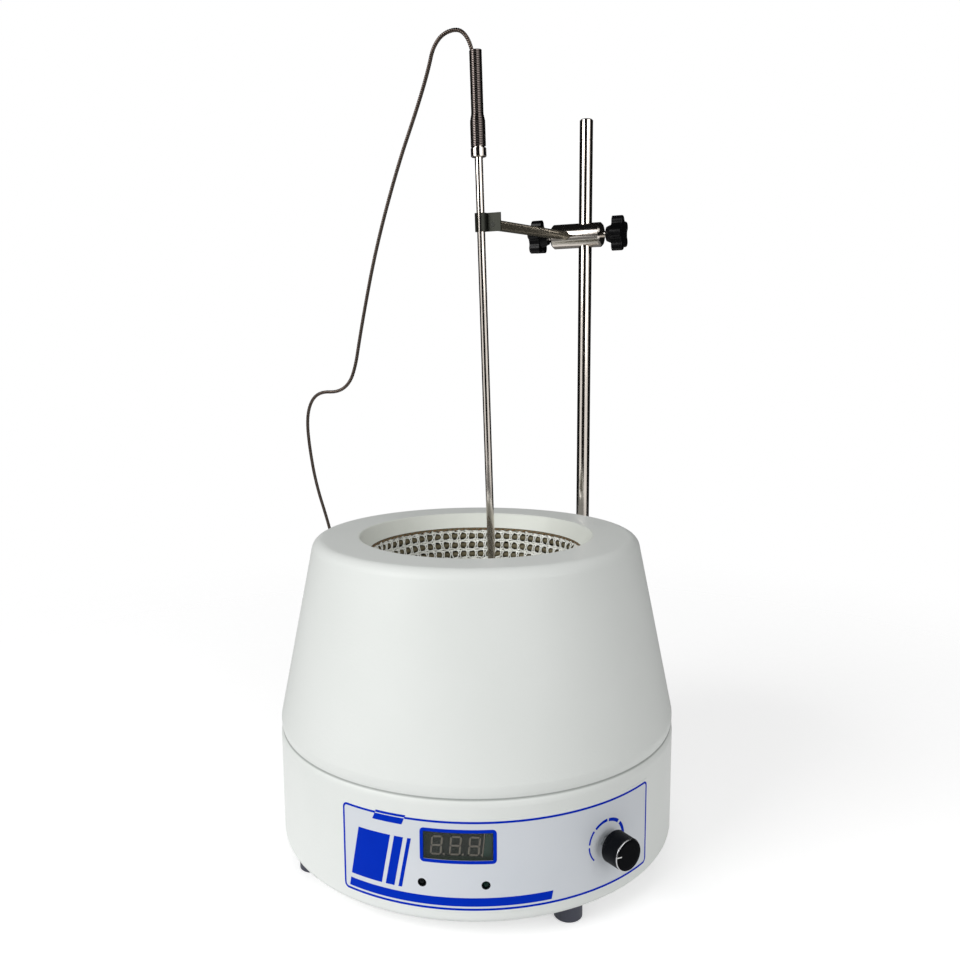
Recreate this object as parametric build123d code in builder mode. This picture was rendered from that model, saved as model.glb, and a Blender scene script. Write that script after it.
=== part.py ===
from build123d import *
import os
from math import cos, pi, radians, sin, sqrt, tan

# Electric heating mantle with a stand rod and a temperature probe. Millimetres.
# The origin lies on the mantle's axis at bench level, +Z is up and the control panel faces -Y.
# Bearings round the axis are in degrees from the front (-Y) towards the right (+X).

# ---------------------------------------------------------------- capacity
nest_radius = 86.0

# ---------------------------------------------------------------- casing
base_wall_room = 71.5
cone_top_room = 42.4
mouth_room = 6.3
foot_height = 13.5
foot_diameter = 20.0
foot_inset = 16.0
foot_edge = 0.8
first_foot_bearing = 26.7
seam_height = 101.0
casing_wall = 3.0
floor_edge_radius = 5.0
seam_groove_depth = 1.7
base_round_height = 5.0
skirt_round_height = 7.5
spigot_height = 5.0
spigot_wall = 2.0
joint_clearance = 0.3
skirt_height = 9.0
skirt_draft = 0.5
casing_top = 248.0
shoulder_radius = 9.0
mouth_edge_radius = 2.0
lip_wall = 3.0
weld = 1.0
pillar_inset = 11.5
first_pillar_bearing = 62.0
pillar_diameter = 13.0
upper_boss_diameter = 11.8
upper_boss_height = 23.0
pillar_rib_thickness = 2.4
case_screw_diameter = 4.0
case_screw_head_diameter = 7.4
case_screw_head_height = 3.0
case_screw_roof = 16.0
foot_screw_diameter = 4.0
foot_screw_head_diameter = 7.6
foot_screw_head_height = 2.6
foot_boss_diameter = 12.0
foot_boss_height = 12.0
screw_side_clearance = 0.1
screw_tip_gap = 1.0
foot_recess_clearance = 0.6
vent_width = 4.0
vent_length = 40.0
vent_pitch = 10.0
vent_count = 7
vent_offset = 62.0

# ---------------------------------------------------------------- nest and insulation
nest_thickness = 4.0
nest_row_pitch = 7.2
nest_row_depth = 1.0
lip_overhang = 0.5
lip_drop = 12.0
wool_thickness = 16.0
shield_thickness = 1.0
shield_flange_inset = 7.4
shield_flange_gap = 8.0
shield_screw_inset = 5.5
shield_screw_diameter = 3.0
shield_screw_head_diameter = 5.6
shield_screw_head_height = 2.0
shield_boss_diameter = 8.0
layer_clearance = 0.3
wool_rim_drop = 1.2
lead_hole_radius = 6.0

# ---------------------------------------------------------------- control panel
film_thickness = 0.3
film_glue = 0.05
film_left_bearing = -36.4
film_right_bearing = 51.4
film_bottom = 22.6
film_top = 88.2
film_corner_radius = 4.0
display_bearing = -4.5
display_height = 69.1
window_width = 47.0
window_height = 19.5
pane_rim = 1.5
pane_clearance = 0.2
pane_thickness = 2.4
digit_block_width = 37.6
digit_block_height = 19.0
digit_block_depth = 8.0
digit_block_gap = 0.8
digit_pin_pitch = 2.54
digit_pin_rise = 7.62
digit_pin_count = 6
lead_width = 0.5
lead_hole_width = 0.7
lead_tail = 1.0
lamp_height = 42.0
left_lamp_offset = -24.4
right_lamp_offset = 18.4
lamp_diameter = 5.0
lamp_flange_diameter = 5.8
lamp_flange_height = 1.0
lamp_body_length = 5.6
lamp_dome_flat = 0.1
lamp_lead_pitch = 2.54
board_width = 96.0
board_bottom = 28.0
board_height = 60.0
board_thickness = 1.6
board_post_diameter = 7.0
board_post_inset = 4.5
board_screw_diameter = 3.0
board_screw_head_diameter = 5.6
board_screw_head_height = 2.0
board_screw_depth = 3.4
board_screw_tip_gap = 0.4

# ---------------------------------------------------------------- temperature control
knob_bearing = 34.75
knob_height = 56.3
knob_diameter = 23.0
knob_gap = 6.9
knob_length = 14.6
knob_edge = 0.7
knob_wall = 1.8
knob_hub_diameter = 11.0
knob_cap_thickness = 3.0
knob_pointer_bearing = -82.0
knob_pointer_width = 1.0
knob_pointer_length = 5.0
knob_pointer_depth = 0.3
control_pad_width = 20.0
control_pad_inset = 7.5
control_body_diameter = 17.0
control_body_length = 9.0
control_bush_diameter = 7.0
control_bush_length = 11.0
control_nut_flats = 10.0
control_nut_height = 2.0
control_shaft_diameter = 6.0
shaft_clearance = 0.05
shaft_in_knob = 9.0
wiper_diameter = 13.0
wiper_thickness = 1.5
control_lug_width = 1.2
control_lug_length = 6.0
control_lug_pitch = 4.0
control_lug_thickness = 0.5

# ---------------------------------------------------------------- rear fittings
rear_flat_inset = 7.5
rear_flat_bottom = 26.0
rear_flat_top = 82.0
rear_fitting_height = 52.0
inlet_offset = -18.0
inlet_flange_corner = 3.0
inlet_flange_width = 50.0
inlet_flange_height = 24.0
inlet_flange_thickness = 3.0
inlet_body_width = 27.0
inlet_body_height = 19.4
inlet_body_depth = 22.0
inlet_recess_width = 23.6
inlet_recess_height = 15.8
inlet_recess_depth = 17.0
inlet_pin_width = 4.0
inlet_pin_thickness = 2.0
inlet_pin_pitch = 7.0
inlet_pin_rise = 2.0
inlet_pin_length = 14.0
inlet_screw_pitch = 40.0
inlet_screw_diameter = 3.0
switch_offset = 21.0
switch_flange_width = 15.0
switch_flange_height = 21.0
switch_flange_thickness = 2.0
switch_flange_corner = 1.0
switch_body_width = 12.6
switch_body_height = 19.0
switch_body_depth = 15.0
switch_wall = 1.4
rocker_clearance = 0.3
rocker_half_height = 6.6
rocker_front = 7.6
rocker_dish = 1.0
rocker_tilt = 9.0
rocker_pin_diameter = 2.0
rocker_pin_setback = 3.6
fuse_offset = 38.0
fuse_flange_diameter = 15.0
fuse_flange_thickness = 2.0
fuse_body_diameter = 11.8
fuse_body_length = 30.0
fuse_cap_diameter = 10.0
fuse_cap_height = 3.0
fuse_cap_edge = 0.5
fuse_bore_spare = 4.5
fuse_link_diameter = 5.0
fuse_link_length = 20.0
fuse_slot_width = 1.4
fuse_slot_depth = 1.4
socket_bearing = 215.0
socket_height = 45.0
socket_hole_diameter = 15.6
socket_barrel_diameter = 15.4
socket_barrel_length = 10.0
socket_flange_diameter = 19.0
socket_flange_thickness = 2.0
socket_nut_flats = 19.0
socket_nut_thickness = 3.0
socket_setback = 13.5
socket_bore_diameter = 12.0
plug_ring_diameter = 18.0
plug_ring_length = 14.0
plug_shell_diameter = 15.0
plug_reach = 39.5
plug_front_gap = 1.0
plug_gland_diameter = 9.0
plug_gland_length = 12.0

# ---------------------------------------------------------------- power electronics
power_board_width = 96.0
power_board_depth = 70.0
power_board_back = 70.0
power_post_height = 8.0
power_post_diameter = 7.0
power_post_inset = 5.0
power_screw_tip_gap = 0.6
board_part_margin = 2.0
transformer_width = 41.0
transformer_depth = 35.0
transformer_height = 32.0
transformer_coil_height = 22.0
transformer_coil_inset = 6.0
transformer_coil_corner = 4.0
heat_sink_width = 40.0
heat_sink_height = 38.0
heat_sink_base = 4.0
heat_sink_depth = 22.0
heat_sink_fin = 1.6
heat_sink_fin_count = 7
triac_width = 10.2
triac_height = 15.6
triac_thickness = 4.4
triac_body_height = 9.4
triac_lead_pitch = 2.54
triac_lead_width = 0.8
terminal_width = 40.0
terminal_depth = 12.0
terminal_height = 14.0
terminal_count = 5
terminal_wall = 1.0
terminal_screw_depth = 3.0

# ---------------------------------------------------------------- stand rod and its bracket
rod_diameter = 12.0
rod_bearing = 144.016
rod_standoff = 15.76
rod_top = 600.0
rod_groove_drop = 19.0
rod_groove_width = 1.0
rod_groove_depth = 0.5
rod_end_chamfer = 1.0
rod_clearance = 0.05
bracket_bottom = 42.0
bracket_height = 44.0
bracket_width = 30.0
bracket_wall = 7.0
bracket_floor = 5.0
bracket_edge = 2.0
bracket_screw_diameter = 5.0
bracket_screw_head_diameter = 9.0
bracket_screw_head_height = 4.0
bracket_screw_depth = 9.0
bracket_screw_pitch = 26.0
bracket_set_screw_diameter = 6.0
bracket_set_screw_length = 12.0

# ---------------------------------------------------------------- boss head and clamp screws
boss_height = 498.1
boss_diameter = 22.0
boss_bearing = 23.62
boss_right_reach = 16.0
boss_left_reach = 31.0
boss_end_chamfer = 1.5
arm_bore_offset = 16.1
arm_droop = 3.95
screw_stem_diameter = 6.0
screw_bore_clearance = 0.1
screw_stem_reach = 4.6
star_diameter = 32.0
star_core_diameter = 23.0
star_lobe_diameter = 9.6
star_lobe_count = 5
star_valley_radius = 3.0
star_thickness = 10.0
star_edge_radius = 1.4
star_hub_diameter = 18.0
star_neck_diameter = 13.0
star_hub_length = 6.0
star_insert_depth = 10.0
rod_star_turn = 0.0
arm_star_turn = -12.0

# ---------------------------------------------------------------- arm, clip and probe
arm_diameter = 8.0
arm_reach = 182.0
arm_tail = 36.0
arm_clearance = 0.05
arm_edge = 0.6
clip_plate_width = 13.0
clip_plate_height = 13.5
clip_rise = 2.0
clip_sheet = 1.4
clip_probe_offset = 8.6
clip_probe_forward = 2.5
clip_mouth = 3.6
probe_fit = 0.05
arm_spigot_diameter = 4.0
sheath_diameter = 6.0
sheath_wall = 0.5
sheath_below_clip = 298.0
sheath_above_clip = 48.4
ferrule_diameter = 11.5
ferrule_length = 6.6
ferrule_edge = 0.5
ferrule_spigot_length = 6.0
sheath_in_ferrule = 5.0
sheath_tip_radius = 2.0
sensor_element_diameter = 4.0
sensor_element_length = 25.0
spring_foot_diameter = 11.3
spring_foot_length = 17.8
spring_taper_length = 5.0
spring_diameter = 9.2
spring_wire = 1.2
spring_length = 67.4
cable_diameter = 3.0

# Free route of the probe's cable, from inside the spring over the arch and down behind the
# casing to the gland of the plug.
cable_route = [
    (1.4, -25.6, 597.5), (0.9, -26.7, 609.5), (-4.4, -27.0, 618.0), (-13.6, -26.2, 621.6),
    (-23.0, -24.2, 618.6), (-29.0, -20.4, 611.0), (-32.0, -14.0, 600.0), (-37.0, -6.0, 587.0),
    (-45.0, 4.0, 568.0), (-57.0, 17.0, 541.0), (-70.0, 31.0, 506.0), (-82.0, 45.0, 469.0),
    (-92.0, 57.0, 430.0), (-99.0, 66.0, 400.0), (-103.0, 71.0, 381.0), (-109.0, 76.0, 366.0),
    (-120.0, 82.0, 358.0), (-138.0, 95.0, 358.0), (-148.0, 102.0, 350.0), (-153.0, 106.0, 334.0),
    (-153.0, 112.0, 309.0), (-150.0, 124.0, 271.0), (-142.0, 139.0, 231.0), (-136.0, 152.0, 190.0),
    (-131.0, 164.0, 152.0), (-130.0, 176.0, 117.0), (-133.0, 185.0, 88.0), (-133.0, 188.5, 67.0),
    (-129.5, 184.7, 52.5), (-121.6, 173.7, 45.0), (-110.1, 157.3, 45.0),
]

# ---------------------------------------------------------------- derived sizes
base_radius = nest_radius + base_wall_room
cone_top_radius = nest_radius + cone_top_room
mouth_radius = nest_radius + mouth_room
foot_circle_radius = base_radius - foot_inset
pillar_circle_radius = base_radius - pillar_inset
control_pad_depth = base_radius - control_pad_inset
rear_flat_depth = base_radius - rear_flat_inset
shield_flange_radius = cone_top_radius - shield_flange_inset
shield_screw_circle_radius = shield_flange_radius - shield_screw_inset
socket_face_setback = base_radius - socket_setback
plug_end_radius = base_radius + plug_reach
rod_bearing_radius = base_radius + rod_standoff
rod_x = rod_bearing_radius * sin(radians(rod_bearing))
rod_y = -rod_bearing_radius * cos(radians(rod_bearing))
floor_top = foot_height + casing_wall
inner_radius = base_radius - casing_wall
skirt_top = seam_height + skirt_height
skirt_top_radius = base_radius - skirt_draft
skirt_round_radius = base_radius - skirt_draft * skirt_round_height / skirt_height
seam_radius = base_radius - seam_groove_depth
cone_slope = (skirt_top_radius - cone_top_radius) / (casing_top - skirt_top)
nest_rim = casing_top - lip_drop
lip_radius = nest_radius - lip_overhang
wool_inner_radius = nest_radius + nest_thickness + layer_clearance
shield_inner_radius = wool_inner_radius + wool_thickness + layer_clearance
ceiling = casing_top - casing_wall
shield_flange_top = ceiling - shield_flange_gap
window_wall_depth = sqrt(inner_radius**2 - (digit_block_width / 2) ** 2)
board_face_depth = window_wall_depth - digit_block_gap - digit_block_depth
board_back_depth = board_face_depth - board_thickness
case_bearings = [first_pillar_bearing + 90 * quarter for quarter in range(4)]
foot_bearings = [first_foot_bearing + 90 * quarter for quarter in range(4)]


def around(bearing, radius, height):
    """Point at a bearing from the front, a distance from the axis and a height."""
    turn = radians(bearing)
    return (radius * sin(turn), -radius * cos(turn), height)


def facing(bearing, radius, height):
    """Upright plane that faces away from the axis, with its x to the right and its y up."""
    turn = radians(bearing)
    return Plane(
        origin=around(bearing, radius, height),
        x_dir=(cos(turn), sin(turn), 0),
        z_dir=(sin(turn), -cos(turn), 0),
    )


def level(bearing, radius, height):
    """Level plane whose x runs outwards along a bearing."""
    turn = radians(bearing)
    return Plane(origin=around(bearing, radius, height), x_dir=(sin(turn), -cos(turn), 0), z_dir=(0, 0, 1))


def rings(part, radius, height):
    """Circular edges of a radius whose centre lies at a height."""
    found = part.edges().filter_by(GeomType.CIRCLE)
    found = found.filter_by(lambda edge: abs(edge.radius - radius) < 1e-3)
    return found.filter_by(lambda edge: abs(edge.arc_center.Z - height) < 1e-3)


def rear_seat(offset, proud=0):
    """Plane of the rear flat, or a height above it, centred on a fitting."""
    return Plane(
        origin=(-offset, rear_flat_depth + proud, rear_fitting_height),
        x_dir=(-1, 0, 0),
        z_dir=(0, 1, 0),
    )


def finish(part, name):
    """Label a finished piece and write it."""
    part.part.label = name
    export_step(part.part, f"parts/{name}.step")


os.makedirs("parts", exist_ok=True)

# ================================================================ lower casing
display_plane = facing(display_bearing, board_face_depth, 0)
knob_plane = facing(knob_bearing, control_pad_depth, knob_height)
socket_plane = facing(socket_bearing, base_radius, socket_height)
spigot_radius = inner_radius - joint_clearance
spigot_foot = seam_height - 2 * spigot_wall
board_posts = [
    (side * (board_width / 2 - board_post_inset), board_bottom + rise)
    for side in (-1, 1)
    for rise in (board_post_inset, board_height - board_post_inset)
]
power_board_front = power_board_back - power_board_depth
power_posts = [
    (side * (power_board_width / 2 - power_post_inset), end)
    for side in (-1, 1)
    for end in (power_board_front + power_post_inset, power_board_back - power_post_inset)
]
bracket_middle = bracket_bottom + bracket_height / 2

with BuildPart() as base_shell:
    # Turned wall, floor and stepped rim
    with BuildSketch(Plane.XZ):
        with BuildLine():
            Polyline(
                (0, foot_height),
                (base_radius, foot_height),
                (base_radius, seam_height - base_round_height),
            )
            TangentArc(
                (base_radius, seam_height - base_round_height),
                (seam_radius, seam_height),
                tangent=(0, 1),
            )
            Polyline(
                (seam_radius, seam_height),
                (spigot_radius, seam_height),
                (spigot_radius, seam_height + spigot_height),
                (spigot_radius - spigot_wall, seam_height + spigot_height),
                (spigot_radius - spigot_wall, spigot_foot),
                (inner_radius, spigot_foot - spigot_wall - joint_clearance),
                (inner_radius, floor_top),
                (0, floor_top),
                (0, foot_height),
            )
        make_face()
    revolve(axis=Axis.Z)
    fillet(rings(base_shell, base_radius, foot_height), radius=floor_edge_radius)
    # Bosses over the feet
    for bearing in foot_bearings:
        with BuildSketch(level(bearing, foot_circle_radius, floor_top)):
            Circle(foot_boss_diameter / 2)
        extrude(amount=foot_boss_height)
    # Pillars for the long casing screws, each with a rib to the wall
    for bearing in case_bearings:
        with BuildSketch(level(bearing, pillar_circle_radius, foot_height)):
            Circle(pillar_diameter / 2)
        extrude(amount=seam_height - foot_height)
        with BuildSketch(level(bearing, (pillar_circle_radius + inner_radius) / 2, floor_top)):
            Rectangle(inner_radius - pillar_circle_radius + casing_wall, pillar_rib_thickness)
        extrude(amount=spigot_foot - floor_top)
    # Posts for the two boards
    for across, height in board_posts:
        with BuildSketch(display_plane):
            with Locations((across, height)):
                Circle(board_post_diameter / 2)
        wall_here = sqrt(inner_radius**2 - (abs(across) - board_post_diameter / 2) ** 2)
        extrude(amount=wall_here - board_face_depth + weld)
    with BuildSketch(Plane.XY.offset(floor_top - weld)):
        with Locations(*power_posts):
            Circle(power_post_diameter / 2)
    extrude(amount=weld + power_post_height)
    # Flat seats inside the wall, for the temperature control and the rear fittings
    with BuildSketch(knob_plane):
        Rectangle(control_pad_width, control_pad_width)
    extrude(amount=inner_radius - control_pad_depth + weld)
    with BuildSketch(Plane.XY.offset(rear_flat_bottom - casing_wall)):
        Circle(inner_radius + weld)
        with Locations((0, rear_flat_depth - casing_wall)):
            Rectangle(3 * base_radius, 3 * base_radius, align=(Align.CENTER, Align.MAX), mode=Mode.SUBTRACT)
    extrude(amount=rear_flat_top - rear_flat_bottom + 2 * casing_wall)
    with BuildSketch(facing(180, rear_flat_depth, (rear_flat_bottom + rear_flat_top) / 2)):
        Rectangle(2 * base_radius, rear_flat_top - rear_flat_bottom)
    extrude(amount=base_radius, mode=Mode.SUBTRACT)
    # Screw holes in bosses, pillars and posts
    for bearing in foot_bearings:
        with BuildSketch(level(bearing, foot_circle_radius, foot_height)):
            Circle(foot_screw_diameter / 2 + screw_side_clearance)
        extrude(amount=foot_boss_height, mode=Mode.SUBTRACT)
    for bearing in case_bearings:
        with BuildSketch(level(bearing, pillar_circle_radius, foot_height)):
            Circle(case_screw_diameter / 2 + screw_side_clearance)
        extrude(amount=seam_height - foot_height, mode=Mode.SUBTRACT)
        with BuildSketch(level(bearing, pillar_circle_radius, foot_height)):
            Circle(case_screw_head_diameter / 2 + 2 * screw_side_clearance)
        extrude(amount=seam_height - case_screw_roof - foot_height, mode=Mode.SUBTRACT)
    for across, height in board_posts:
        with BuildSketch(display_plane):
            with Locations((across, height)):
                Circle(board_screw_diameter / 2 + screw_side_clearance)
        extrude(amount=board_screw_depth, mode=Mode.SUBTRACT)
    with BuildSketch(Plane.XY.offset(floor_top + power_post_height)):
        with Locations(*power_posts):
            Circle(board_screw_diameter / 2 + screw_side_clearance)
    extrude(amount=-board_screw_depth * 2, mode=Mode.SUBTRACT)
    # Cooling slots through the floor
    with BuildSketch(Plane.XY.offset(foot_height)):
        with Locations((0, -vent_offset), (0, vent_offset + vent_length)):
            with GridLocations(vent_pitch, 0, vent_count, 1):
                SlotOverall(vent_length, vent_width, rotation=90)
    extrude(amount=casing_wall, mode=Mode.SUBTRACT)
    # Window, lamps and control spindle in the front wall
    with BuildSketch(facing(display_bearing, board_face_depth + digit_block_depth, display_height)):
        Rectangle(
            window_width + 2 * (pane_rim + pane_clearance),
            window_height + 2 * (pane_rim + pane_clearance),
        )
    extrude(amount=base_radius, mode=Mode.SUBTRACT)
    with BuildSketch(facing(display_bearing, board_face_depth + digit_block_depth / 2, lamp_height)):
        with Locations((left_lamp_offset, 0), (right_lamp_offset, 0)):
            Circle(lamp_diameter / 2 + pane_clearance)
    extrude(amount=base_radius, mode=Mode.SUBTRACT)
    with BuildSketch(knob_plane):
        Circle(control_bush_diameter / 2 + shaft_clearance)
    extrude(amount=base_radius, mode=Mode.SUBTRACT)
    # Openings in the rear wall
    with BuildSketch(rear_seat(inlet_offset)):
        Rectangle(inlet_body_width + 2 * pane_clearance, inlet_body_height + 2 * pane_clearance)
        with GridLocations(inlet_screw_pitch, 0, 2, 1):
            Circle(inlet_screw_diameter / 2 + screw_side_clearance)
    with BuildSketch(rear_seat(switch_offset)):
        Rectangle(switch_body_width + 2 * pane_clearance, switch_body_height + 2 * pane_clearance)
    with BuildSketch(rear_seat(fuse_offset)):
        Circle(fuse_body_diameter / 2 + pane_clearance)
    extrude(amount=-2 * casing_wall, mode=Mode.SUBTRACT)
    with BuildSketch(socket_plane):
        Circle(socket_hole_diameter / 2)
    extrude(amount=-4 * casing_wall, mode=Mode.SUBTRACT)
    with BuildSketch(facing(rod_bearing, base_radius, bracket_middle)):
        with GridLocations(0, bracket_screw_pitch, 1, 2):
            Circle(bracket_screw_diameter / 2 + screw_side_clearance)
    extrude(amount=-2 * casing_wall, mode=Mode.SUBTRACT)
finish(base_shell, "base_shell")

# ================================================================ upper casing
skirt_inner_top = skirt_top_radius - casing_wall
cone_inner_top = cone_top_radius - casing_wall + cone_slope * casing_wall
mouth_inner_radius = mouth_radius + lip_wall
lip_foot_radius = lip_radius + lip_wall

with BuildPart() as upper_shell:
    # Skirt, cone, flat top ring and the lip turned down over the nest's rim
    with BuildSketch(Plane.XZ):
        with BuildLine():
            TangentArc(
                (skirt_round_radius, seam_height + skirt_round_height),
                (seam_radius, seam_height),
                tangent=(skirt_draft, -skirt_height),
            )
            Polyline(
                (skirt_round_radius, seam_height + skirt_round_height),
                (skirt_top_radius, skirt_top),
                (cone_top_radius, casing_top),
                (mouth_radius, casing_top),
                (lip_radius, nest_rim),
                (lip_foot_radius, nest_rim),
                (mouth_inner_radius, ceiling),
                (cone_inner_top, ceiling),
                (skirt_inner_top, skirt_top),
                (inner_radius, seam_height),
                (seam_radius, seam_height),
            )
        make_face()
    revolve(axis=Axis.Z)
    fillet(rings(upper_shell, cone_top_radius, casing_top), radius=shoulder_radius)
    fillet(rings(upper_shell, cone_inner_top, ceiling), radius=shoulder_radius - casing_wall)
    fillet(rings(upper_shell, mouth_radius, casing_top), radius=mouth_edge_radius)
    # Bosses that take the long casing screws
    for bearing in case_bearings:
        with BuildSketch(level(bearing, pillar_circle_radius, seam_height)):
            Circle(upper_boss_diameter / 2)
        extrude(amount=upper_boss_height)
        with BuildSketch(level(bearing, pillar_circle_radius, seam_height)):
            Circle(case_screw_diameter / 2 + screw_side_clearance)
        extrude(amount=upper_boss_height - casing_wall, mode=Mode.SUBTRACT)
    # Bosses that carry the heat shield's flange
    with BuildSketch(Plane.XY.offset(shield_flange_top)):
        with PolarLocations(shield_screw_circle_radius, 4, start_angle=45):
            Circle(shield_boss_diameter / 2)
    extrude(amount=shield_flange_gap + weld)
    with BuildSketch(Plane.XY.offset(shield_flange_top)):
        with PolarLocations(shield_screw_circle_radius, 4, start_angle=45):
            Circle(shield_screw_diameter / 2 + screw_side_clearance)
    extrude(amount=shield_flange_gap, mode=Mode.SUBTRACT)
finish(upper_shell, "upper_shell")

# ================================================================ woven nest
nest_row_count = round(nest_radius * pi / 2 / nest_row_pitch)
nest_row_angle = 90 / nest_row_count


def nest_point(radius, below_rim):
    """Point of the nest's section at an angle below its rim, as (radius, height)."""
    turn = radians(below_rim)
    return (radius * cos(turn), nest_rim - radius * sin(turn))


with BuildPart() as heating_nest:
    # Hemisphere knitted in rows: each row of sleeving stands proud of the seam beside it
    with BuildSketch(Plane.XZ):
        with BuildLine():
            outer_nest = nest_radius + nest_thickness
            Line((nest_radius + nest_row_depth, nest_rim), (outer_nest, nest_rim))
            ThreePointArc(
                nest_point(outer_nest, 0),
                nest_point(outer_nest, 45),
                nest_point(outer_nest, 90),
            )
            Line(nest_point(outer_nest, 90), nest_point(nest_radius + nest_row_depth, 90))
            for row in range(nest_row_count):
                Polyline(
                    nest_point(nest_radius + nest_row_depth, row * nest_row_angle),
                    nest_point(nest_radius, (row + 0.5) * nest_row_angle),
                    nest_point(nest_radius + nest_row_depth, (row + 1) * nest_row_angle),
                )
        make_face()
    revolve(axis=Axis.Z)
finish(heating_nest, "heating_nest")


def bowl(inner, outer, rim):
    """Half of a bowl's section about the nest's centre, drawn on the open sketch plane."""
    with Locations((0, nest_rim)):
        Circle(outer)
        Circle(inner, mode=Mode.SUBTRACT)
        Rectangle(outer, 2 * outer, align=(Align.MAX, Align.CENTER), mode=Mode.SUBTRACT)
    with Locations((0, rim)):
        Rectangle(3 * outer, 3 * outer, align=(Align.CENTER, Align.MIN), mode=Mode.SUBTRACT)


with BuildPart() as insulation_bowl:
    # Felted wool between the nest and the shield, level with the shield's flange
    with BuildSketch(Plane.XZ):
        bowl(wool_inner_radius, wool_inner_radius + wool_thickness, shield_flange_top - wool_rim_drop)
    revolve(axis=Axis.Z)
    with BuildSketch(Plane.XY):
        Circle(lead_hole_radius)
    extrude(amount=nest_rim, mode=Mode.SUBTRACT)
finish(insulation_bowl, "insulation_bowl")

shield_rim = shield_flange_top - shield_thickness
with BuildPart() as heat_shield:
    # Spun bowl with a flat flange screwed up against the top of the casing
    with BuildSketch(Plane.XZ):
        bowl(shield_inner_radius, shield_inner_radius + shield_thickness, shield_rim)
        with Locations(((shield_inner_radius + shield_flange_radius) / 2, shield_rim)):
            Rectangle(
                shield_flange_radius - shield_inner_radius,
                shield_thickness,
                align=(Align.CENTER, Align.MIN),
            )
    revolve(axis=Axis.Z)
    with BuildSketch(Plane.XY):
        Circle(lead_hole_radius)
    extrude(amount=nest_rim, mode=Mode.SUBTRACT)
    with BuildSketch(Plane.XY.offset(shield_rim)):
        with PolarLocations(shield_screw_circle_radius, 4, start_angle=45):
            Circle(shield_screw_diameter / 2 + screw_side_clearance)
    extrude(amount=shield_thickness, mode=Mode.SUBTRACT)
finish(heat_shield, "heat_shield")

with BuildPart() as shield_screws:
    with BuildSketch(Plane.XY.offset(shield_rim)):
        with PolarLocations(shield_screw_circle_radius, 4, start_angle=45):
            Circle(shield_screw_head_diameter / 2)
    extrude(amount=-shield_screw_head_height)
    with BuildSketch(Plane.XY.offset(shield_rim)):
        with PolarLocations(shield_screw_circle_radius, 4, start_angle=45):
            Circle(shield_screw_diameter / 2)
    extrude(amount=shield_flange_gap - screw_tip_gap)
finish(shield_screws, "shield_screws")

# ================================================================ feet and casing screws
foot_names = ["foot_front_right", "foot_rear_right", "foot_rear_left", "foot_front_left"]
foot_recess_roof = foot_height / 2
for foot_name, bearing in zip(foot_names, foot_bearings):
    with BuildPart() as foot:
        with BuildSketch(level(bearing, foot_circle_radius, 0)):
            Circle(foot_diameter / 2)
        extrude(amount=foot_height)
        chamfer(foot.faces().sort_by(Axis.Z)[0].edges(), length=foot_edge)
        with BuildSketch(level(bearing, foot_circle_radius, 0)):
            Circle(foot_screw_head_diameter / 2 + foot_recess_clearance)
        extrude(amount=foot_recess_roof, mode=Mode.SUBTRACT)
        with BuildSketch(level(bearing, foot_circle_radius, 0)):
            Circle(foot_screw_diameter / 2 + screw_side_clearance)
        extrude(amount=foot_height, mode=Mode.SUBTRACT)
    finish(foot, foot_name)

with BuildPart() as foot_screws:
    for bearing in foot_bearings:
        with BuildSketch(level(bearing, foot_circle_radius, foot_recess_roof)):
            Circle(foot_screw_head_diameter / 2)
        extrude(amount=-foot_screw_head_height)
        with BuildSketch(level(bearing, foot_circle_radius, foot_recess_roof)):
            Circle(foot_screw_diameter / 2)
        extrude(amount=foot_height - foot_recess_roof + foot_boss_height - screw_tip_gap)
finish(foot_screws, "foot_screws")

with BuildPart() as case_screws:
    for bearing in case_bearings:
        with BuildSketch(level(bearing, pillar_circle_radius, seam_height - case_screw_roof)):
            Circle(case_screw_head_diameter / 2)
        extrude(amount=-case_screw_head_height)
        with BuildSketch(level(bearing, pillar_circle_radius, seam_height - case_screw_roof)):
            Circle(case_screw_diameter / 2)
        extrude(amount=case_screw_roof + upper_boss_height - casing_wall - screw_tip_gap)
finish(case_screws, "case_screws")

# ================================================================ control panel
film_span = film_right_bearing - film_left_bearing
film_back = base_radius + film_glue

with BuildPart() as panel_overlay:
    # Printed film wrapped round the lower casing, with its cut-outs
    with BuildSketch(level(film_left_bearing, 0, film_bottom)):
        with BuildLine():
            CenterArc((0, 0), film_back, 0, film_span)
            CenterArc((0, 0), film_back + film_thickness, 0, film_span)
            Line((film_back, 0), (film_back + film_thickness, 0))
            far = Vector(1, 0, 0).rotate(Axis.Z, film_span)
            Line(far * film_back, far * (film_back + film_thickness))
        make_face()
    extrude(amount=film_top - film_bottom)
    corner_edges = panel_overlay.edges().filter_by(GeomType.LINE)
    fillet(corner_edges.filter_by(lambda edge: edge.length < 2 * film_thickness), radius=film_corner_radius)
    with BuildSketch(facing(display_bearing, board_face_depth, display_height)):
        Rectangle(window_width, window_height)
    extrude(amount=base_radius, mode=Mode.SUBTRACT)
    with BuildSketch(facing(display_bearing, board_face_depth, lamp_height)):
        with Locations((left_lamp_offset, 0), (right_lamp_offset, 0)):
            Circle(lamp_diameter / 2 + pane_clearance)
    extrude(amount=base_radius, mode=Mode.SUBTRACT)
    with BuildSketch(knob_plane):
        Circle(control_bush_diameter / 2 + 2 * shaft_clearance)
    extrude(amount=base_radius, mode=Mode.SUBTRACT)
finish(panel_overlay, "panel_overlay")

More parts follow.
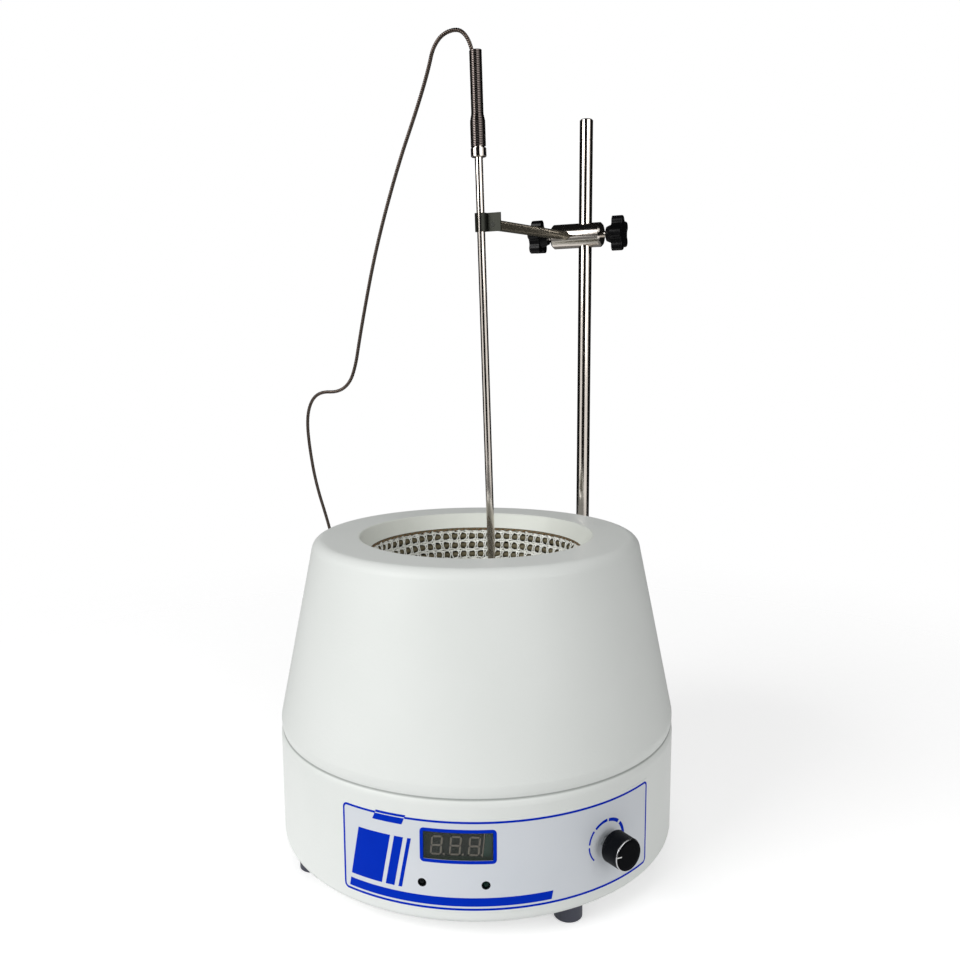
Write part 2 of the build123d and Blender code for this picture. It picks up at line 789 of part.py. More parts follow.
with BuildPart() as display_window:
    # Curved smoked pane, level with the casing's outside, held by the film's edge
    with BuildSketch(facing(display_bearing, board_face_depth, display_height)):
        Rectangle(window_width + 2 * pane_rim, window_height + 2 * pane_rim)
    extrude(amount=base_radius)
    with BuildSketch(Plane.XY):
        Circle(base_radius)
        Circle(base_radius - pane_thickness, mode=Mode.SUBTRACT)
    extrude(amount=seam_height, mode=Mode.INTERSECT)
finish(display_window, "display_window")

with BuildPart() as display_module:
    # Three-digit block with its two rows of pins through the board
    with BuildSketch(facing(display_bearing, board_face_depth, display_height)):
        Rectangle(digit_block_width, digit_block_height)
    extrude(amount=digit_block_depth)
    for edge_side in (-1, 1):
        with BuildSketch(facing(display_bearing, board_face_depth, display_height)):
            with Locations((0, edge_side * digit_pin_rise)):
                with GridLocations(digit_pin_pitch, 0, digit_pin_count, 1):
                    Rectangle(lead_width, lead_width)
        extrude(amount=-board_thickness - lead_tail)
finish(display_module, "display_module")

for lamp_name, lamp_offset in (("heat_lamp", left_lamp_offset), ("alarm_lamp", right_lamp_offset)):
    # Five-millimetre lamp: flange, body, dome and two leads down to the board
    lamp_tip_depth = sqrt(base_radius**2 - lamp_offset**2)
    lamp_foot_depth = lamp_tip_depth - lamp_body_length - lamp_diameter / 2 - lamp_flange_height
    with BuildPart() as lamp:
        with BuildSketch(facing(display_bearing, lamp_foot_depth, lamp_height)):
            with Locations((lamp_offset, 0)):
                Circle(lamp_flange_diameter / 2)
        extrude(amount=lamp_flange_height)
        with BuildSketch(facing(display_bearing, lamp_foot_depth + lamp_flange_height, lamp_height)):
            with Locations((lamp_offset, 0)):
                Circle(lamp_diameter / 2)
        extrude(amount=lamp_body_length + lamp_diameter / 2)
        front_ring = lamp.edges().filter_by(GeomType.CIRCLE).sort_by(display_plane.location.z_axis)[-1]
        fillet(front_ring, radius=lamp_diameter / 2 - lamp_dome_flat)
        with BuildSketch(facing(display_bearing, board_back_depth - lead_tail, lamp_height)):
            with Locations((lamp_offset, 0)):
                with GridLocations(lamp_lead_pitch, 0, 2, 1):
                    Rectangle(lead_width, lead_width)
        extrude(amount=lamp_foot_depth - board_back_depth + lead_tail)
    finish(lamp, lamp_name)

with BuildPart() as control_board:
    with BuildSketch(display_plane):
        with Locations((0, board_bottom + board_height / 2)):
            Rectangle(board_width, board_height)
        for across, height in board_posts:
            with Locations((across, height)):
                Circle(board_screw_diameter / 2 + screw_side_clearance, mode=Mode.SUBTRACT)
        with Locations((0, display_height - digit_pin_rise), (0, display_height + digit_pin_rise)):
            with GridLocations(digit_pin_pitch, 0, digit_pin_count, 1):
                Rectangle(lead_hole_width, lead_hole_width, mode=Mode.SUBTRACT)
        with Locations((left_lamp_offset, lamp_height), (right_lamp_offset, lamp_height)):
            with GridLocations(lamp_lead_pitch, 0, 2, 1):
                Rectangle(lead_hole_width, lead_hole_width, mode=Mode.SUBTRACT)
    extrude(amount=-board_thickness)
finish(control_board, "control_board")

with BuildPart() as board_screws:
    for across, height in board_posts:
        with BuildSketch(facing(display_bearing, board_back_depth, 0)):
            with Locations((across, height)):
                Circle(board_screw_head_diameter / 2)
        extrude(amount=-board_screw_head_height)
        with BuildSketch(facing(display_bearing, board_back_depth, 0)):
            with Locations((across, height)):
                Circle(board_screw_diameter / 2)
        extrude(amount=board_thickness + board_screw_depth - board_screw_tip_gap)
finish(board_screws, "board_screws")

# ================================================================ temperature control
knob_back_depth = base_radius + knob_gap
knob_front_depth = knob_back_depth + knob_length

with BuildPart() as temperature_knob:
    # Turned cap: outer wall, closed front and a hub on the spindle
    with BuildSketch(facing(knob_bearing, knob_back_depth, knob_height)):
        Circle(knob_diameter / 2)
    extrude(amount=knob_length)
    front_face = temperature_knob.faces().sort_by(knob_plane.location.z_axis)[-1]
    chamfer(front_face.edges(), length=knob_edge)
    with BuildSketch(facing(knob_bearing, knob_back_depth, knob_height)):
        Circle(knob_diameter / 2 - knob_wall)
        Circle(knob_hub_diameter / 2, mode=Mode.SUBTRACT)
    extrude(amount=knob_length - knob_cap_thickness, mode=Mode.SUBTRACT)
    with BuildSketch(facing(knob_bearing, knob_back_depth, knob_height)):
        Circle(control_shaft_diameter / 2 + shaft_clearance)
    extrude(amount=shaft_in_knob, mode=Mode.SUBTRACT)
    pointer_radius = (knob_diameter - knob_pointer_length) / 2
    with BuildSketch(facing(knob_bearing, knob_front_depth, knob_height)):
        with PolarLocations(pointer_radius, 1, start_angle=90 - knob_pointer_bearing):
            Rectangle(knob_pointer_length, knob_pointer_width)
    extrude(amount=-knob_pointer_depth, mode=Mode.SUBTRACT)
finish(temperature_knob, "temperature_knob")

control_back_depth = control_pad_depth - control_body_length
wiper_depth = control_back_depth + 3 * wiper_thickness
with BuildPart() as potentiometer_spindle:
    with BuildSketch(facing(knob_bearing, wiper_depth, knob_height)):
        Circle(wiper_diameter / 2)
    extrude(amount=wiper_thickness)
    with BuildSketch(facing(knob_bearing, wiper_depth, knob_height)):
        Circle(control_shaft_diameter / 2)
    extrude(amount=knob_back_depth + shaft_in_knob - shaft_clearance - wiper_depth)
finish(potentiometer_spindle, "potentiometer_spindle")

with BuildPart() as potentiometer_body:
    # Can with a threaded bush and three soldering lugs
    with BuildSketch(facing(knob_bearing, control_back_depth, knob_height)):
        Circle(control_body_diameter / 2)
    extrude(amount=control_body_length)
    with BuildSketch(knob_plane):
        Circle(control_bush_diameter / 2)
    extrude(amount=control_bush_length)
    with BuildSketch(facing(knob_bearing, control_back_depth + wiper_thickness, knob_height)):
        with Locations((0, weld - (control_body_diameter + control_lug_length) / 2)):
            with GridLocations(control_lug_pitch, 0, 3, 1):
                Rectangle(control_lug_width, control_lug_length)
    extrude(amount=control_lug_thickness)
    with BuildSketch(facing(knob_bearing, wiper_depth - layer_clearance, knob_height)):
        Circle(wiper_diameter / 2 + layer_clearance)
    extrude(amount=wiper_thickness + 2 * layer_clearance, mode=Mode.SUBTRACT)
    with BuildSketch(facing(knob_bearing, wiper_depth, knob_height)):
        Circle(control_shaft_diameter / 2 + shaft_clearance)
    extrude(amount=control_body_length + control_bush_length, mode=Mode.SUBTRACT)
finish(potentiometer_body, "potentiometer_body")

with BuildPart() as potentiometer_nut:
    with BuildSketch(facing(knob_bearing, film_back + film_thickness, knob_height)):
        RegularPolygon(control_nut_flats / 2, 6, major_radius=False)
        Circle(control_bush_diameter / 2 + shaft_clearance, mode=Mode.SUBTRACT)
    extrude(amount=control_nut_height)
finish(potentiometer_nut, "potentiometer_nut")

# ================================================================ rear fittings
inlet_pins = [
    (-inlet_pin_pitch, -inlet_pin_rise),
    (0, inlet_pin_rise),
    (inlet_pin_pitch, -inlet_pin_rise),
]
with BuildPart() as mains_inlet:
    # Flanged inlet with an open recess and three blade pins
    with BuildSketch(rear_seat(inlet_offset)):
        RectangleRounded(inlet_flange_width, inlet_flange_height, inlet_flange_corner)
        with GridLocations(inlet_screw_pitch, 0, 2, 1):
            Circle(inlet_screw_diameter / 2 + screw_side_clearance, mode=Mode.SUBTRACT)
    extrude(amount=inlet_flange_thickness)
    with BuildSketch(rear_seat(inlet_offset)):
        Rectangle(inlet_body_width, inlet_body_height)
    extrude(amount=-inlet_body_depth)
    with BuildSketch(rear_seat(inlet_offset, inlet_flange_thickness)):
        with BuildLine():
            half = inlet_recess_width / 2
            rise = inlet_recess_height / 2
            cut = inlet_recess_height / 3
            Polyline(
                (-half, -rise),
                (half, -rise),
                (half, rise - cut),
                (half - cut, rise),
                (cut - half, rise),
                (-half, rise - cut),
                close=True,
            )
        make_face()
    extrude(amount=-inlet_recess_depth, mode=Mode.SUBTRACT)
    with BuildSketch(rear_seat(inlet_offset, inlet_flange_thickness - inlet_recess_depth)):
        with Locations(*inlet_pins):
            Rectangle(inlet_pin_thickness, inlet_pin_width)
    extrude(amount=inlet_pin_length)
finish(mains_inlet, "mains_inlet")

with BuildPart() as inlet_screws:
    with BuildSketch(rear_seat(inlet_offset, inlet_flange_thickness)):
        with GridLocations(inlet_screw_pitch, 0, 2, 1):
            Circle(inlet_screw_diameter)
    extrude(amount=inlet_screw_diameter / 2)
    with BuildSketch(rear_seat(inlet_offset, inlet_flange_thickness)):
        with GridLocations(inlet_screw_pitch, 0, 2, 1):
            Circle(inlet_screw_diameter / 2)
    extrude(amount=-inlet_flange_thickness - 2 * casing_wall)
finish(inlet_screws, "inlet_screws")

rocker_pin_depth = rear_flat_depth - rocker_pin_setback
with BuildPart() as switch_frame:
    # Open-fronted switch body with a flange
    with BuildSketch(rear_seat(switch_offset)):
        RectangleRounded(switch_flange_width, switch_flange_height, switch_flange_corner)
    extrude(amount=switch_flange_thickness)
    with BuildSketch(rear_seat(switch_offset)):
        Rectangle(switch_body_width, switch_body_height)
    extrude(amount=-switch_body_depth)
    with BuildSketch(rear_seat(switch_offset, switch_flange_thickness)):
        Rectangle(switch_body_width - 2 * switch_wall, switch_body_height - 2 * switch_wall)
    extrude(amount=-switch_body_depth - switch_flange_thickness + switch_wall, mode=Mode.SUBTRACT)
    with BuildSketch(Plane.YZ.offset(-switch_offset)):
        with Locations((rocker_pin_depth, rear_fitting_height)):
            Circle(rocker_pin_diameter / 2)
    extrude(amount=switch_body_width / 2, both=True)
finish(switch_frame, "switch_frame")


def rocked(depth, rise):
    """Point of the rocker's section about its pin, turned to the off position."""
    turn = radians(-rocker_tilt)
    return (
        rocker_pin_depth + depth * cos(turn) - rise * sin(turn),
        rear_fitting_height + depth * sin(turn) + rise * cos(turn),
    )


with BuildPart() as power_rocker:
    # Rocker with a dished front, pivoted on the frame's pin
    with BuildSketch(Plane.YZ.offset(-switch_offset)):
        with BuildLine():
            Polyline(
                rocked(-rocker_pin_diameter, -rocker_half_height / 2),
                rocked(rocker_pin_diameter, -rocker_half_height),
                rocked(rocker_front, -rocker_half_height),
                rocked(rocker_front - rocker_dish, 0),
                rocked(rocker_front, rocker_half_height),
                rocked(rocker_pin_diameter, rocker_half_height),
                rocked(-rocker_pin_diameter, rocker_half_height / 2),
                close=True,
            )
        make_face()
        with Locations((rocker_pin_depth, rear_fitting_height)):
            Circle(rocker_pin_diameter / 2 + shaft_clearance, mode=Mode.SUBTRACT)
    extrude(amount=switch_body_width / 2 - switch_wall - rocker_clearance, both=True)
finish(power_rocker, "power_rocker")

with BuildPart() as fuse_holder:
    # Flanged tube that takes the fuse link and its turn-to-lock cap
    with BuildSketch(rear_seat(fuse_offset)):
        Circle(fuse_flange_diameter / 2)
    extrude(amount=fuse_flange_thickness)
    with BuildSketch(rear_seat(fuse_offset)):
        Circle(fuse_body_diameter / 2)
    extrude(amount=-fuse_body_length)
    with BuildSketch(rear_seat(fuse_offset, fuse_flange_thickness)):
        Circle(fuse_cap_diameter / 2 + shaft_clearance)
    extrude(amount=-fuse_cap_height, mode=Mode.SUBTRACT)
    with BuildSketch(rear_seat(fuse_offset)):
        Circle(fuse_link_diameter / 2 + layer_clearance)
    extrude(amount=-fuse_link_length - fuse_bore_spare, mode=Mode.SUBTRACT)
finish(fuse_holder, "fuse_holder")

with BuildPart() as fuse_cap:
    # Slotted cap, flush in the holder's mouth behind and proud in front
    with BuildSketch(rear_seat(fuse_offset, fuse_flange_thickness - fuse_cap_height)):
        Circle(fuse_cap_diameter / 2)
    extrude(amount=fuse_cap_height + fuse_flange_thickness)
    chamfer(fuse_cap.faces().sort_by(Axis.Y)[-1].edges(), length=fuse_cap_edge)
    with BuildSketch(rear_seat(fuse_offset, 2 * fuse_flange_thickness)):
        Rectangle(fuse_cap_diameter, fuse_slot_width)
    extrude(amount=-fuse_slot_depth, mode=Mode.SUBTRACT)
finish(fuse_cap, "fuse_cap")

with BuildPart() as fuse_link:
    with BuildSketch(rear_seat(fuse_offset, fuse_flange_thickness - fuse_cap_height)):
        Circle(fuse_link_diameter / 2)
    extrude(amount=-fuse_link_length)
finish(fuse_link, "fuse_link")

with BuildPart() as sensor_socket:
    # Panel socket: flange outside, threaded barrel through the wall
    with BuildSketch(facing(socket_bearing, socket_face_setback, socket_height)):
        Circle(socket_barrel_diameter / 2)
    extrude(amount=base_radius - socket_face_setback + socket_barrel_length)
    with BuildSketch(socket_plane):
        Circle(socket_flange_diameter / 2)
    extrude(amount=socket_flange_thickness)
    with BuildSketch(facing(socket_bearing, base_radius + socket_barrel_length, socket_height)):
        Circle(socket_bore_diameter / 2)
    extrude(amount=-socket_barrel_length, mode=Mode.SUBTRACT)
finish(sensor_socket, "sensor_socket")

socket_seat_depth = sqrt(inner_radius**2 - (socket_nut_flats / sqrt(3)) ** 2)
with BuildPart() as sensor_socket_nut:
    with BuildSketch(facing(socket_bearing, socket_seat_depth - socket_nut_thickness, socket_height)):
        RegularPolygon(socket_nut_flats / 2, 6, major_radius=False)
        Circle(socket_barrel_diameter / 2 + shaft_clearance, mode=Mode.SUBTRACT)
    extrude(amount=socket_nut_thickness)
finish(sensor_socket_nut, "sensor_socket_nut")

plug_ring_depth = base_radius + socket_flange_thickness + plug_front_gap
with BuildPart() as plug_ring:
    # Knurled ring screwed over the socket's barrel
    with BuildSketch(facing(socket_bearing, plug_ring_depth, socket_height)):
        Circle(plug_ring_diameter / 2)
        Circle(socket_barrel_diameter / 2 + shaft_clearance, mode=Mode.SUBTRACT)
    extrude(amount=plug_ring_length)
finish(plug_ring, "plug_ring")

plug_shell_depth = base_radius + socket_barrel_length + layer_clearance
with BuildPart() as sensor_plug:
    # Plug body with its contact insert in the socket and a gland for the cable
    with BuildSketch(facing(socket_bearing, plug_shell_depth, socket_height)):
        Circle(plug_shell_diameter / 2)
    extrude(amount=plug_end_radius - plug_gland_length - plug_shell_depth)
    with BuildSketch(facing(socket_bearing, base_radius + plug_front_gap, socket_height)):
        Circle(socket_bore_diameter / 2 - shaft_clearance)
    extrude(amount=socket_barrel_length)
    with BuildSketch(facing(socket_bearing, plug_end_radius - plug_gland_length, socket_height)):
        Circle(plug_gland_diameter / 2)
    extrude(amount=plug_gland_length)
    with BuildSketch(facing(socket_bearing, plug_end_radius, socket_height)):
        Circle(cable_diameter / 2 + 2 * shaft_clearance)
    extrude(amount=-plug_gland_length, mode=Mode.SUBTRACT)
finish(sensor_plug, "sensor_plug")

# ================================================================ power electronics
power_board_level = floor_top + power_post_height
power_board_top = power_board_level + board_thickness
power_board_middle = power_board_back - power_board_depth / 2
with BuildPart() as power_board:
    with BuildSketch(Plane.XY.offset(power_board_level)):
        with Locations((0, power_board_middle)):
            Rectangle(power_board_width, power_board_depth)
        with Locations(*power_posts):
            Circle(board_screw_diameter / 2 + screw_side_clearance, mode=Mode.SUBTRACT)
    extrude(amount=board_thickness)
finish(power_board, "power_board")

with BuildPart() as power_board_screws:
    with BuildSketch(Plane.XY.offset(power_board_top)):
        with Locations(*power_posts):
            Circle(board_screw_head_diameter / 2)
    extrude(amount=board_screw_head_height)
    with BuildSketch(Plane.XY.offset(power_board_top)):
        with Locations(*power_posts):
            Circle(board_screw_diameter / 2)
    extrude(amount=power_screw_tip_gap - board_thickness - 2 * board_screw_depth)
finish(power_board_screws, "power_board_screws")

transformer_x = transformer_width / 2 + board_part_margin - power_board_width / 2
with BuildPart() as transformer:
    # Laminated core with the winding standing out on both sides
    with BuildSketch(Plane.XY.offset(power_board_top)):
        with Locations((transformer_x, power_board_middle)):
            Rectangle(transformer_width, transformer_depth / 2)
    extrude(amount=transformer_height)
    coil_level = power_board_top + (transformer_height - transformer_coil_height) / 2
    with BuildSketch(Plane.XY.offset(coil_level)):
        with Locations((transformer_x, power_board_middle)):
            RectangleRounded(
                transformer_width - 2 * transformer_coil_inset,
                transformer_depth,
                transformer_coil_corner,
            )
    extrude(amount=transformer_coil_height)
finish(transformer, "transformer")

sink_x = power_board_width / 2 - heat_sink_width / 2 - 2 * power_post_inset
sink_y = power_board_middle + heat_sink_depth / 2
sink_fin_pitch = (heat_sink_width - heat_sink_fin) / (heat_sink_fin_count - 1)
with BuildPart() as heat_sink:
    # Extruded comb that stands on the board
    with BuildSketch(Plane.XY.offset(power_board_top)):
        with Locations((sink_x, sink_y)):
            Rectangle(heat_sink_width, heat_sink_base, align=(Align.CENTER, Align.MAX))
            with GridLocations(sink_fin_pitch, 0, heat_sink_fin_count, 1):
                Rectangle(heat_sink_fin, heat_sink_depth - heat_sink_base, align=(Align.CENTER, Align.MIN))
    extrude(amount=heat_sink_height)
finish(heat_sink, "heat_sink")

with BuildPart() as triac:
    # Tabbed package bolted flat to the heat sink, with three leads in the board
    triac_face = Plane(
        origin=(sink_x, sink_y - heat_sink_base, power_board_top + heat_sink_height / 2),
        x_dir=(1, 0, 0),
        z_dir=(0, -1, 0),
    )
    with BuildSketch(triac_face):
        Rectangle(triac_width, triac_height)
    extrude(amount=triac_thickness / 3)
    with BuildSketch(triac_face):
        with Locations((0, -triac_height / 2)):
            Rectangle(triac_width, triac_body_height, align=(Align.CENTER, Align.MIN))
    extrude(amount=triac_thickness)
    triac_lead_length = (heat_sink_height - triac_height) / 2
    with BuildSketch(triac_face.offset(triac_thickness / 2)):
        with Locations((0, -triac_height / 2)):
            with GridLocations(triac_lead_pitch, 0, 3, 1):
                Rectangle(triac_lead_width, triac_lead_length, align=(Align.CENTER, Align.MAX))
    extrude(amount=lead_width)
finish(triac, "triac")

with BuildPart() as terminal_strip:
    # Screw terminals for the nest's leads and the mains wires
    terminal_y = power_board_front + terminal_depth / 2 + power_post_diameter + power_post_inset
    with BuildSketch(Plane.XY.offset(power_board_top)):
        with Locations((sink_x, terminal_y)):
            Rectangle(terminal_width, terminal_depth)
    extrude(amount=terminal_height)
    terminal_pitch = terminal_width / terminal_count
    with BuildSketch(Plane.XY.offset(power_board_top + terminal_height)):
        with Locations((sink_x, terminal_y)):
            with GridLocations(terminal_pitch, 0, terminal_count, 1):
                Circle(terminal_pitch / 2 - terminal_wall)
    extrude(amount=-terminal_screw_depth, mode=Mode.SUBTRACT)
finish(terminal_strip, "terminal_strip")

# ================================================================ stand rod
rod_bottom = bracket_bottom + bracket_floor
bracket_bulge_radius = rod_diameter / 2 + bracket_wall
set_screw_tip = rod_bearing_radius + rod_diameter / 2 + rod_clearance
with BuildPart() as rod_bracket:
    # Cast block on the rear wall with an upright blind bore for the rod
    with BuildSketch(Plane.XY.offset(bracket_bottom)):
        with Locations((rod_x, rod_y)):
            Circle(bracket_bulge_radius)
        with Locations(level(rod_bearing, base_radius - casing_wall, 0).location):
            Rectangle(
                rod_bearing_radius - base_radius + casing_wall,
                bracket_width,
                align=(Align.MIN, Align.CENTER),
            )
        Circle(base_radius + 2 * shaft_clearance, mode=Mode.SUBTRACT)
    extrude(amount=bracket_height)
    outer_edges = rod_bracket.faces().filter_by(Axis.Z).edges().filter_by(GeomType.CIRCLE)
    bulge_edges = outer_edges.filter_by(lambda edge: abs(edge.radius - bracket_bulge_radius) < 1e-3)
    fillet(bulge_edges, radius=bracket_edge)
    with BuildSketch(Plane.XY.offset(rod_bottom)):
        with Locations((rod_x, rod_y)):
            Circle(rod_diameter / 2 + rod_clearance)
    extrude(amount=bracket_height, mode=Mode.SUBTRACT)
    with BuildSketch(facing(rod_bearing, rod_bearing_radius, bracket_middle)):
        Circle(bracket_set_screw_diameter / 2 + shaft_clearance)
    extrude(amount=rod_diameter / 2 + 2 * bracket_wall, mode=Mode.SUBTRACT)
    with BuildSketch(facing(rod_bearing, base_radius, bracket_middle)):
        with GridLocations(0, bracket_screw_pitch, 1, 2):
            Circle(bracket_screw_diameter / 2 + screw_side_clearance)
    extrude(amount=bracket_screw_depth - casing_wall, mode=Mode.SUBTRACT)
finish(rod_bracket, "rod_bracket")

with BuildPart() as bracket_screws:
    # Socket-head screws from inside the wall into the bracket
    screw_seat = sqrt(inner_radius**2 - (bracket_screw_head_diameter / 2) ** 2)
    with BuildSketch(facing(rod_bearing, screw_seat, bracket_middle)):
        with GridLocations(0, bracket_screw_pitch, 1, 2):
            Circle(bracket_screw_head_diameter / 2)
    extrude(amount=-bracket_screw_head_height)
    with BuildSketch(facing(rod_bearing, screw_seat, bracket_middle)):
        with GridLocations(0, bracket_screw_pitch, 1, 2):
            Circle(bracket_screw_diameter / 2)
    extrude(amount=bracket_screw_depth)
finish(bracket_screws, "bracket_screws")

with BuildPart() as bracket_set_screw:
    # Headless screw that nips the rod
    with BuildSketch(facing(rod_bearing, set_screw_tip, bracket_middle)):
        Circle(bracket_set_screw_diameter / 2)
    extrude(amount=bracket_set_screw_length)
    with BuildSketch(facing(rod_bearing, set_screw_tip + bracket_set_screw_length, bracket_middle)):
        RegularPolygon(bracket_set_screw_diameter / 4, 6)
    extrude(amount=-bracket_set_screw_diameter / 2, mode=Mode.SUBTRACT)
finish(bracket_set_screw, "bracket_set_screw")

with BuildPart() as stand_rod:
    # Polished rod with a fine turned groove near its top
    with BuildSketch(Plane.XY.offset(rod_bottom + layer_clearance)):
        with Locations((rod_x, rod_y)):
            Circle(rod_diameter / 2)
    extrude(amount=rod_top - rod_bottom - layer_clearance)
    chamfer(stand_rod.edges().filter_by(GeomType.CIRCLE), length=rod_end_chamfer)
    with BuildSketch(Plane.XY.offset(rod_top - rod_groove_drop)):
        with Locations((rod_x, rod_y)):
            Circle(rod_diameter)
            Circle(rod_diameter / 2 - rod_groove_depth, mode=Mode.SUBTRACT)
    extrude(amount=rod_groove_width, mode=Mode.SUBTRACT)
finish(stand_rod, "stand_rod")

# ================================================================ boss head
boss_turn = radians(boss_bearing)
droop = radians(arm_droop)
boss_axis = Vector(cos(boss_turn), -sin(boss_turn), 0)
boss_centre = Vector(rod_x, rod_y, boss_height)
arm_origin = boss_centre - boss_axis * arm_bore_offset
arm_forward = Vector(-sin(boss_turn) * cos(droop), -cos(boss_turn) * cos(droop), -sin(droop))
arm_up = Vector(-sin(boss_turn) * sin(droop), -cos(boss_turn) * sin(droop), cos(droop))
arm_frame = Plane(origin=arm_origin, x_dir=boss_axis, z_dir=arm_up)
stem_bore_radius = screw_stem_diameter / 2 + screw_bore_clearance


def across_boss(reach, outwards):
    """Plane square to the boss, at a reach from the rod along it; x points forward and level."""
    return Plane(
        origin=boss_centre + boss_axis * reach,
        x_dir=(boss_axis.Y, -boss_axis.X, 0),
        z_dir=outwards,
    )


with BuildPart() as boss_head:
    # Turned bar with two crossing bores and a tapped bore from each end
    with BuildSketch(across_boss(-boss_left_reach, boss_axis)):
        Circle(boss_diameter / 2)
    extrude(amount=boss_left_reach + boss_right_reach)
    chamfer(boss_head.edges().filter_by(GeomType.CIRCLE), length=boss_end_chamfer)
    with BuildSketch(Plane.XY.offset(boss_height)):
        with Locations((rod_x, rod_y)):
            Circle(rod_diameter / 2 + rod_clearance)
    extrude(amount=boss_diameter, both=True, mode=Mode.SUBTRACT)
    with BuildSketch(Plane(origin=arm_origin, x_dir=boss_axis, z_dir=arm_forward)):
        Circle(arm_diameter / 2 + arm_clearance)
    extrude(amount=boss_diameter, both=True, mode=Mode.SUBTRACT)
    with BuildSketch(across_boss(0, boss_axis)):
        Circle(stem_bore_radius)
    extrude(amount=boss_right_reach, mode=Mode.SUBTRACT)
    with BuildSketch(across_boss(-arm_bore_offset, -boss_axis)):
        Circle(stem_bore_radius)
    extrude(amount=boss_left_reach, mode=Mode.SUBTRACT)
finish(boss_head, "boss_head")

clamp_screws = (
    ("rod", boss_axis, boss_right_reach, rod_diameter / 2 + rod_clearance, rod_star_turn),
    ("arm", -boss_axis, boss_left_reach, arm_bore_offset + arm_diameter / 2 + arm_clearance, arm_star_turn),
)
star_lobe_radius = (star_diameter - star_lobe_diameter) / 2
for clamp_name, outwards, boss_end, tip, star_turn in clamp_screws:
    side = outwards.dot(boss_axis)
    hub_start = boss_end + screw_stem_reach
    star_start = hub_start + star_hub_length
    with BuildPart() as star_knob:
        # Moulded star with a conical hub
        with BuildSketch(across_boss(side * hub_start, outwards)):
            Circle(star_neck_diameter / 2)
        with BuildSketch(across_boss(side * star_start, outwards)):
            Circle(star_hub_diameter / 2)
        loft()
        with BuildSketch(across_boss(side * star_start, outwards)) as star_outline:
            Circle(star_core_diameter / 2)
            with PolarLocations(star_lobe_radius, star_lobe_count, start_angle=side * star_turn):
                Circle(star_lobe_diameter / 2)
            fillet(star_outline.vertices(), radius=star_valley_radius)
        extrude(amount=star_thickness)
        flat_faces = star_knob.faces().filter_by(Axis(boss_centre, boss_axis))
        star_face = flat_faces.sort_by(Axis(boss_centre, outwards))[-1]
        fillet(star_face.edges(), radius=star_edge_radius)
        with BuildSketch(across_boss(side * hub_start, outwards)):
            Circle(screw_stem_diameter / 2 + shaft_clearance)
        extrude(amount=star_insert_depth, mode=Mode.SUBTRACT)
    finish(star_knob, f"{clamp_name}_clamp_knob")
    with BuildPart() as stem:
        # Threaded stud moulded into the knob, its tip against the bar that it clamps
        with BuildSketch(across_boss(side * tip, outwards)):
            Circle(screw_stem_diameter / 2)
        extrude(amount=hub_start + star_insert_depth - tip)
    finish(stem, f"{clamp_name}_clamp_stud")

# ================================================================ arm and clip
arm_end_plane = Plane(origin=arm_origin + arm_forward * arm_reach, x_dir=boss_axis, z_dir=arm_forward)
with BuildPart() as probe_arm:
    # Round bar with a spigot staked into the clip's plate
    with BuildSketch(Plane(origin=arm_origin - arm_forward * arm_tail, x_dir=boss_axis, z_dir=arm_forward)):
        Circle(arm_diameter / 2)
    extrude(amount=arm_tail + arm_reach - clip_sheet / 2)
    chamfer(probe_arm.edges().filter_by(GeomType.CIRCLE), length=arm_edge)
    with BuildSketch(arm_end_plane):
        Circle(arm_spigot_diameter / 2)
    extrude(amount=clip_sheet / 2, both=True)
finish(probe_arm, "probe_arm")

clip_ring_x = -clip_probe_offset
clip_ring_y = -arm_reach - clip_probe_forward
clip_bore_radius = sheath_diameter / 2 + probe_fit
with BuildPart() as probe_clip:
    # Strip with one end rolled into an open ring that springs round the sheath
    with BuildSketch(arm_frame.offset(clip_rise - clip_plate_height / 2)):
        with Locations((0, -arm_reach)):
            Rectangle(clip_plate_width, clip_sheet)
        with Locations((clip_ring_x, clip_ring_y)):
            Circle(clip_bore_radius + clip_sheet)
            Circle(clip_bore_radius, mode=Mode.SUBTRACT)
            Rectangle(clip_mouth, sheath_diameter, align=(Align.CENTER, Align.MAX), mode=Mode.SUBTRACT)
    extrude(amount=clip_plate_height)
    with BuildSketch(arm_end_plane):
        Circle(arm_spigot_diameter / 2 + shaft_clearance)
    extrude(amount=clip_sheet, both=True, mode=Mode.SUBTRACT)
finish(probe_clip, "probe_clip")

# ================================================================ probe
probe_frame = Plane(
    origin=arm_frame.from_local_coords(Vector(clip_ring_x, clip_ring_y, 0)),
    x_dir=boss_axis,
    z_dir=arm_up,
)
sheath_bore_radius = sheath_diameter / 2 - sheath_wall
sheath_length = sheath_below_clip + sheath_above_clip + sheath_in_ferrule
with BuildPart() as probe_sheath:
    # Thin tube with a closed, rounded tip
    with BuildSketch(probe_frame.offset(-sheath_below_clip)):
        Circle(sheath_diameter / 2)
    extrude(amount=sheath_length)
    tip_edge = probe_sheath.edges().filter_by(GeomType.CIRCLE).sort_by(Axis.Z)[0]
    fillet(tip_edge, radius=sheath_tip_radius)
    with BuildSketch(probe_frame.offset(sheath_above_clip + sheath_in_ferrule)):
        Circle(sheath_bore_radius)
    extrude(amount=sheath_tip_radius - sheath_length, mode=Mode.SUBTRACT)
finish(probe_sheath, "probe_sheath")

with BuildPart() as sensor_element:
    with BuildSketch(probe_frame.offset(-sheath_below_clip + sheath_tip_radius + layer_clearance)):
        Circle(sensor_element_diameter / 2)
    extrude(amount=sensor_element_length)
finish(sensor_element, "sensor_element")

